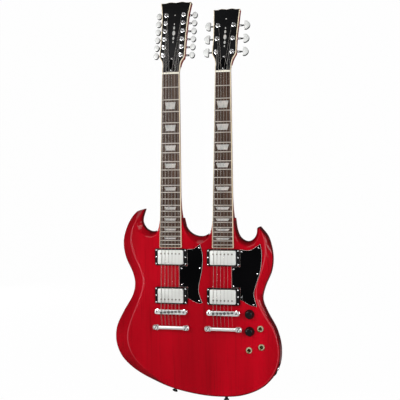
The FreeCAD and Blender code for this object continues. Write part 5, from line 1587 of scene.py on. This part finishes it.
@dataclass
class Tailpieces:
    """Two stop bars on two slotted studs each."""

    middle: float = SADDLE_LINE - 45.0
    length: float = 100.0
    lift: float = 5.0
    depth: float = 10.0
    half_width: float = 7.0
    stud_x: float = 41.25

    def bar(self) -> Piece:
        """The bar, round in section and drawn in at its ends."""
        rings = []
        ends = ((50, 0.3, 1.0), (49.7, 0.5, 1.0), (48.9, 0.72, 1.0), (47.4, 0.9, 1.0), (45.0, 1.0, 1.0),
                (36.5, 1.0, 1.0), (34.6, 0.97, 0.96), (33.6, 0.9, 0.84), (33.0, 0.86, 0.78), (30.0, 0.86, 0.78))
        spine = [(-x, a, b) for x, a, b in ends] + [(x, a, b) for x, a, b in reversed(ends)]
        for x, share, waist in spine:
            ring = []
            for step in range(28):
                angle = 2 * math.pi * step / 28
                across, out = math.cos(angle), math.sin(angle)
                z = self.half_width * waist * math.copysign(abs(across) ** 0.7, across)
                y = self.depth / 2 * math.copysign(abs(out) ** 0.8, out)
                ring.append((x, FRONT - self.lift - self.depth / 2 + y * max(share, 0.6), z * share))
            rings.append(ring)
        made = skinned("bar", rings)
        for side in (-1, 1):
            carved(made, drill(4.6, side * self.stud_x, FRONT - 10, 0))
        return coated(made, PLATED)

    def stud(self, side: int) -> list[Piece]:
        """A stud with a broad slotted head, ringed by painted shadow where it meets the bar.

        Args:
            side: -1 for the left one, 1 for the right one.

        Returns:
            The stud, its slot's floor painted as shade, and a ring of painted shadow round its head.
        """
        top = self.lift + self.depth
        profile = ((0, -4), (4.0, -4), (4.0, -0.1), (6.5, 0.0), (6.5, 4.4), (6.1, 4.9), (4.0, 4.9), (4.0, top),
                   (5.5, top), (5.7, top + 0.4), (5.6, top + 1.8), (5.0, top + 2.4), (0, top + 2.5))
        made = turned("stud", profile, 32)
        carved(made, block("slot", (-7, -0.95, top + 1.1), (7, 0.95, top + 4), 0))
        place = at(side * self.stud_x, FRONT, 0) @ OUT @ about("Z", 60.0)
        # Painted shade on the slot's floor, and a ring of painted shadow where the head meets the bar
        floor = block("slot_floor", (-5.3, -0.94, top + 1.0), (5.3, 0.94, top + 1.2), 0)
        seat = turned("seat", ((4.1, top - 0.6), (4.1, top + 0.12), (6.5, top + 0.12), (6.6, top - 0.6)), 32)
        return [coated(moved(made, place), PLATED), coated(moved(floor, place), SHADOWED),
                coated(moved(seat, place), SHADOWED)]

    def build(self) -> None:
        """Make one tailpiece and copy it to the other neck."""
        one = together("tailpiece_6", [self.bar(), *self.stud(-1), *self.stud(1)])
        moved(one, at(0, 0, self.middle))
        two = moved(copied(one, "tailpiece_12"), at(TWELVE.centre, 0, 0))
        for made in (one, two):
            seated(made, HERE, "chrome", "tailpieces")


@dataclass
class Guards:
    """Pickguards, bell covers and the lid at the back, with their screws."""

    left: Shares = (
        (-0.217, 0.783), (-0.175, 0.787), (-0.138, 0.811), (-0.124, 0.763), (-0.123, 0.708), (-0.131, 0.656),
        (-0.146, 0.592), (-0.147, 0.551), (-0.127, 0.499), (-0.144, 0.495), (-0.182, 0.507), (-0.217, 0.525))
    right: Shares = (
        (0.096, 0.785), (0.158, 0.782), (0.217, 0.815), (0.225, 0.775), (0.225, 0.730), (0.214, 0.666),
        (0.190, 0.598), (0.178, 0.551), (0.195, 0.485), (0.153, 0.493), (0.096, 0.525))
    sharp: tuple[int, int] = (2, 8)
    screws: Shares = (
        (-114, 349), (-64, 351), (-114, 306), (-66, 404), (-66, 264), (27, 349), (49, 395), (95, 406), (91, 338),
        (27, 305), (49, 276), (80, 257))
    bell: Shares = ((0.0, 0.84), (0.2, 1.0), (0.42, 0.78), (0.7, 0.45), (1.0, 0.16))

    def guard(self, neck: Neck, shares: Shares) -> Piece:
        """A pickguard, notched round the rings beside it.

        Args:
            neck: The neck that it lies beside.
            shares: Its outer edge, as shares of the body.

        Returns:
            The guard.
        """
        low, high = self.sharp
        points = [(across_body(x), up_body(z)) for x, z in shares]
        line = []
        for part in (points[: low + 1], points[low : high + 1], points[high:]):
            line = line[:-1] + flowing(part, 5)
        ring_x = neck.centre + 45.0
        inner_x = neck.centre + 22.4
        line = [point for point in line if point.x > ring_x + 0.5]
        top, bottom = line[0], line[-1]
        corners = [(ring_x, bottom.y), (ring_x, 300.0), (inner_x, 300.0), (inner_x, 356.0), (ring_x, 356.0),
                   (ring_x, top.y)]
        made = plate("guard", [*line, *corners], FRONT - 2.0, FRONT, 1.1, 3)
        return self.plied(made)

    def plied(self, made: Piece) -> Piece:
        """Let the white middle ply show on the slanted rim."""
        coated(made, BLACK)
        made.data.materials.append(WHITE_PLY.material())
        facing(made, -0.80, -0.40)
        return made

    def build(self) -> None:
        """Make the guards, covers, lid and screws."""
        guards = [self.guard(TWELVE, self.left), self.guard(SIX, self.right)]
        seated(together("pickguards", guards), HERE, "black_plastic", "pickguards_and_covers")
        places = [at(x, FRONT - 2.0, z) for x, z in self.screws]
        seated(repeated(screw_head("guard_screw", 2.0, 0.8, CHROME), "guard_screws", places), HERE, "chrome")
        for neck in NECKS:
            side = flowing([(w * 13.0, 1.0 + t * 40.0) for t, w in self.bell], 5)
            outline = side + [Vector((-p.x, p.y)) for p in reversed(side)]
            cover = self.plied(plate("bell", outline, -2.0, -0.1, 0.8, 3))
            cover = together("bell_cover_" + neck.tag, [cover])
            seated(cover, neck.head_place, "black_plastic", "pickguards_and_covers")
            screw = screw_head("bell_screw", 1.6, 0.7, CHROME)
            made = repeated(screw, "bell_screws_" + neck.tag, [at(0, -2.0, 37.5), at(0, -2.0, 5.0)])
            seated(made, neck.head_place, "chrome")
        lid = plate("lid", Body().lid_outline(4.6), BACK - 1.9, BACK, 0.4, 2, both=True)
        seated(coated(together("cavity_lid", [lid]), SATIN), HERE, "black_plastic", "pickguards_and_covers")
        back = about("Z", 180.0)
        places = [at(x, BACK, z) @ back for x, z in ((49, 115), (117, 115), (117, 188), (88, 250.5), (49, 251))]
        seated(repeated(screw_head("lid_screw", 2.0, 0.7, CHROME), "lid_screws", places), HERE, "chrome")


@dataclass
class Controls:
    """Two knobs and three toggle switches."""

    knobs: tuple[Flat, ...] = ((69.0, 232.02), (69.0, 186.99))
    switches: tuple[Flat, ...] = ((97.5, 194.99), (100.0, 146.98), (67.0, 137.98))
    names: tuple[str, ...] = ("neck_select", "pickup_12", "pickup_6")
    tilt: float = 12.0

    def knob(self, name: str, place: Flat) -> None:
        """A fluted top-hat knob with a mark on its skirt.

        Args:
            name: volume or tone.
            place: Its place on the front.
        """
        shape = ((10.9, 0.8, 0), (12.6, 0.9, 0), (12.6, 2.6, 0), (12.1, 3.6, 0), (10.9, 4.6, 0.3), (10.3, 5.4, 1),
                 (10.0, 11.2, 1), (9.7, 12.6, 0.6), (9.1, 13.7, 0.2), (8.1, 14.5, 0), (7.0, 14.9, 0),
                 (4.0, 15.0, 0), (0.5, 15.0, 0))
        rings = waved(shape, 90, lambda level, step: level[0] - 0.32 * level[2] * (step % 3 == 0))
        cap = coated(skinned("cap", rings), KNOB_BLACK, Shading.SOFT)
        shaft = coated(turned("shaft", ((0, -12), (3, -12), (3, 1), (0, 1)), 24), DARK_STEEL)
        mark = coated(block("mark", (10.9, -0.35, 3.0), (12.2, 0.35, 3.6), 0.1, 1), WHITE_PLY)
        made = together(name + "_cap", [cap, shaft, mark])
        node = name + "_knob"
        seated(made, at(place[0], FRONT, place[1]) @ OUT @ about("Z", 120.0), "black_plastic", node, body=node)

    def lever(self, name: str, place: Flat) -> None:
        """A bat lever, tilted down at rest.

        Args:
            name: The switch.
            place: Its place on the front.
        """
        barrel = turned("barrel", ((0, -2.2), (3.0, -2.2), (3.0, 2.2), (0, 2.2)), 24)
        barrel = moved(barrel, about("Y", 90.0))
        bat = turned("bat", ((0, 0), (1.5, 0), (1.3, 8.0), (1.45, 11.0), (2.1, 15.0), (2.6, 18.0), (2.35, 19.4),
                             (1.5, 19.9), (0, 20.0)), 20)
        bat = moved(bat, about("X", self.tilt) @ OUT)
        made = together("lever_" + name, [coated(barrel, OLIVE), coated(bat, OLIVE)])
        node = "toggle_lever_" + name
        seated(made, at(place[0], FRONT + 5.0, place[1]), "control_metal", node, body=node)

    def build(self) -> None:
        """Make the knobs, the levers and their ring nuts."""
        for name, place in zip(("volume", "tone"), self.knobs):
            self.knob(name, place)
        for name, place in zip(self.names, self.switches):
            self.lever(name, place)
        shape = ((4.9, 0.0, 0), (8.4, 0.0, 0.4), (8.7, 0.4, 1), (8.7, 1.9, 1), (8.3, 2.45, 0.4), (5.4, 2.6, 0),
                 (4.9, 2.2, 0))
        loops = waved(shape, 60, lambda level, step: level[0] - 0.3 * level[2] * (step % 2))
        nut = coated(moved(skinned("nut", loops, looped=True), OUT), GOLD)
        sleeve = turned("sleeve", ((4.3, -1.0), (4.3, 3.1), (4.9, 3.1), (4.9, -1.0)), 32)
        sleeve = coated(moved(sleeve, OUT), OLIVE)
        places = [at(x, FRONT, z) for x, z in self.switches]
        seated(repeated(together("ring_nut", [nut, sleeve]), "ring_nuts", places), HERE, "control_metal")
        repainted("pots_and_switches", OLIVE)


@dataclass
class Fittings:
    """Output jack, strap buttons and the truss rods."""

    def build(self) -> None:
        """Make the small fittings."""
        outline = rounded(oblong(38.0, 26.0), 4.0, 5)
        cover = coated(moved(plate("jack", outline, -1.5, 0.0, 0.6, 3), about("X", -90.0)), BLACK)
        bpy.ops.mesh.primitive_cylinder_add(vertices=6, radius=7.0, depth=2.0, location=(0, 0, 2.5))
        nut = named("nut")
        bpy.ops.object.transform_apply(location=True, rotation=True, scale=True)
        bevelled(nut, lambda edge: True, 0.35, 2)
        sleeve = turned("sleeve", ((3.25, -20), (3.25, 4.2), (3.6, 4.5), (4.8, 4.3), (4.8, -20)), 28)
        bore = turned("bore", ((0, -1), (4.7, -1), (4.7, 6), (0, 6)), 28)
        carved(nut, bore)
        parts = [cover, coated(nut, CHROME), coated(sleeve, CHROME)]
        for x, y in ((-15.5, -9.5), (15.5, -9.5), (-15.5, 9.5), (15.5, 9.5)):
            head = moved(screw_head("jack_screw", 1.7, 0.6, CHROME), about("X", -90.0))
            parts.append(moved(head, at(x, y, 1.5)))
        seated(together("jack_plate", parts), JACK_PLACE, "chrome", "output_jack")
        profile = ((0, -0.2), (6.3, -0.2), (6.5, 0.3), (6.2, 1.2), (4.6, 2.2), (4.0, 4.0), (4.2, 6.2), (5.6, 7.6),
                   (7.3, 8.4), (7.5, 9.4), (7.0, 10.5), (5.6, 11.0), (3.6, 10.9), (3.0, 10.3), (0, 10.3))
        button = turned("strap_button", profile, 36)
        screw = moved(screw_head("strap_screw", 2.8, 0.6, DARK_STEEL), about("X", -90.0))
        button = together("strap_button", [coated(button, BLACK_NICKEL), moved(screw, at(0, 0, 10.25))])
        made = repeated(button, "strap_pins", STRAP_PLACES)
        seated(made, HERE, "chrome", "strap_buttons")
        repainted("truss_rods", DARK_STEEL)


# Room, light and camera


@dataclass
class Studio:
    """A pale room, soft lamps and the camera of the photograph."""

    camera_place: tuple[float, float, float] = (0.6484, -2.5391, 0.6093)
    looking: tuple[float, float, float] = (-0.2710, 0.9621, -0.0301)
    lens: float = 89.64
    roll: float = -0.642
    camera_white: float = 0.985
    mirrored_floor: float = 0.35
    mirrored_wall: float = 0.15
    mirrored_back: float = 0.5
    mirrored_room: float = 0.30
    ambient: float = 0.14

    def backdrop(self) -> None:
        """A pale floor that sweeps up into a wall behind."""
        rows = [(-6.0, 0.0), (2.2, 0.0)]
        for step in range(1, 13):
            angle = math.pi / 2 * step / 12
            rows.append((2.2 + 1.6 * math.sin(angle), 1.6 - 1.6 * math.cos(angle)))
        rows.append((3.8, 6.0))
        points = [(x, y, z) for y, z in rows for x in (-5.0, 5.0)]
        faces = [(2 * k, 2 * k + 1, 2 * k + 3, 2 * k + 2) for k in range(len(rows) - 1)]
        made = from_lists("backdrop", points, [], faces)
        bpy.ops.object.shade_smooth()
        paper = bpy.data.materials.new("paper")
        paper.use_nodes = True
        tree = paper.node_tree
        tree.nodes.clear()
        path = node(tree, "LightPath")
        seen = self.weighed(tree, path, (self.camera_white, 1.0, 1.0))
        light = self.dimmed(tree, path, self.weighed(tree, path, (1.0, self.mirrored_floor, self.mirrored_floor)))
        matte = node(tree, "BsdfDiffuse", {"Color": (0.86, 0.86, 0.86, 1.0)})
        glow = node(tree, "Emission", {"Color": WHITE, "Strength": light})
        mix = node(tree, "MixShader", {"Fac": seen, 1: matte.outputs[0], 2: glow.outputs[0]})
        node(tree, "OutputMaterial", {"Surface": mix.outputs[0]})
        made.data.materials.append(paper)

    def weighed(self, tree: Tree, path: Node, weights: Sequence) -> Socket:
        """A value that differs for rays from the camera, a mirror and glass.

        Args:
            tree: The paper's nodes.
            path: Its light path.
            weights: The value for each kind of ray.

        Returns:
            The value.
        """
        total = 0.0
        for ray, weight in zip(("Is Camera Ray", "Is Glossy Ray", "Is Transmission Ray"), weights):
            sockets = {0: path.outputs[ray], 1: weight, 2: total}
            total = node(tree, "Math", sockets, operation="MULTIPLY_ADD").outputs[0]
        return total

    def dimmed(self, tree: Tree, path: Node,
               value: Socket) -> Socket:
        """Let mirrors see less of the wall behind than of the floor in front.

        Args:
            tree: The paper's nodes.
            path: Its light path.
            value: The glow of the floor.

        Returns:
            The glow, weaker behind the object for rays from a mirror.
        """
        depth = node(tree, "SeparateXYZ", {0: node(tree, "TexCoord").outputs["Object"]}).outputs["Y"]
        wall = node(tree, "MapRange", {"From Min": 0.2, "From Max": 2.0, "To Min": 1.0,
                                       "To Max": self.mirrored_wall, "Value": depth}).outputs[0]
        mix = node(tree, "Mix", {"Factor": path.outputs["Is Glossy Ray"], "A": 1.0, "B": wall})
        return node(tree, "Math", {0: value, 1: mix.outputs["Result"]}, operation="MULTIPLY").outputs[0]

    def world(self) -> None:
        """A room that is white to look at, dim in front and bright behind the object."""
        world = bpy.data.worlds.new("room")
        world.use_nodes = True
        tree = world.node_tree
        shade = tree.nodes["Background"]
        shade.inputs["Color"].default_value = WHITE
        depth = node(tree, "SeparateXYZ", {0: node(tree, "TexCoord").outputs["Generated"]}).outputs["Y"]
        mirrored = node(tree, "MapRange", {"From Min": 0.45, "From Max": 0.75, "To Min": self.mirrored_room,
                                           "To Max": self.mirrored_back, "Value": depth}).outputs[0]
        path = node(tree, "LightPath")
        strength = self.ambient
        for ray, seen in (("Is Glossy Ray", mirrored), ("Is Transmission Ray", mirrored), ("Is Camera Ray", 1.0)):
            sockets = {"Factor": path.outputs[ray], "A": strength, "B": seen}
            strength = node(tree, "Mix", sockets).outputs["Result"]
        tree.links.new(strength, shade.inputs["Strength"])
        bpy.context.scene.world = world

    def lamp(self, name: str, place: Sequence, aim: Sequence, size: Flat, power: float) -> None:
        """A soft oblong lamp.

        Args:
            name: Its name.
            place: Where it stands.
            aim: What it points at.
            size: Its width and height.
            power: Its power in watts.
        """
        bpy.ops.object.light_add(type="AREA", location=place)
        made = bpy.context.object
        made.name = name
        made.data.shape = "RECTANGLE"
        made.data.size, made.data.size_y = size
        made.data.energy = power
        made.rotation_mode = "QUATERNION"
        made.rotation_quaternion = (Vector(aim) - Vector(place)).to_track_quat("-Z", "Y")

    def camera(self) -> None:
        """The photograph's point of view."""
        lens = bpy.data.cameras.new("camera")
        lens.lens = self.lens
        made = linked("camera", lens)
        made.location = self.camera_place
        turn = Vector(self.looking).to_track_quat("-Z", "Y").to_matrix().to_4x4()
        made.rotation_euler = (turn @ Matrix.Rotation(math.radians(self.roll), 4, "Z")).to_euler()
        bpy.context.scene.camera = made

    def build(self) -> None:
        """Set the room up."""
        self.backdrop()
        self.world()
        self.lamp("key", (-1.4, -2.2, 1.8), (-0.05, 0, 0.5), (1.7, 1.9), 47.0)
        self.lamp("right_box", (1.5, -2.0, 0.9), (0, 0, 0.45), (0.7, 1.7), 29.0)
        self.lamp("left_strip", (-1.25, -2.2, 0.36), (-0.2, 0, 0.36), (0.05, 0.7), 6.0)
        self.lamp("right_strip", (1.7, -1.0, 0.75), (0.07, 0, 0.25), (0.12, 0.7), 5.0)
        self.lamp("back_fill", (-2.1, 1.9, 0.7), (-0.08, 0, 0.5), (0.8, 1.2), 26.0)
        self.camera()
        bpy.context.scene.view_settings.view_transform = "Standard"


def main() -> None:
    """Build every piece in order."""
    logging.basicConfig(level=logging.INFO, format="%(name)s: %(message)s")
    for maker in (Studio(), Body(), TWELVE, SIX, Pickups(), Bridges(), Tailpieces(), Guards(), Controls(),
                  Fittings()):
        maker.build()
        LOG.info("%s built", type(maker).__name__)


if __name__ == "__main__":
    main()
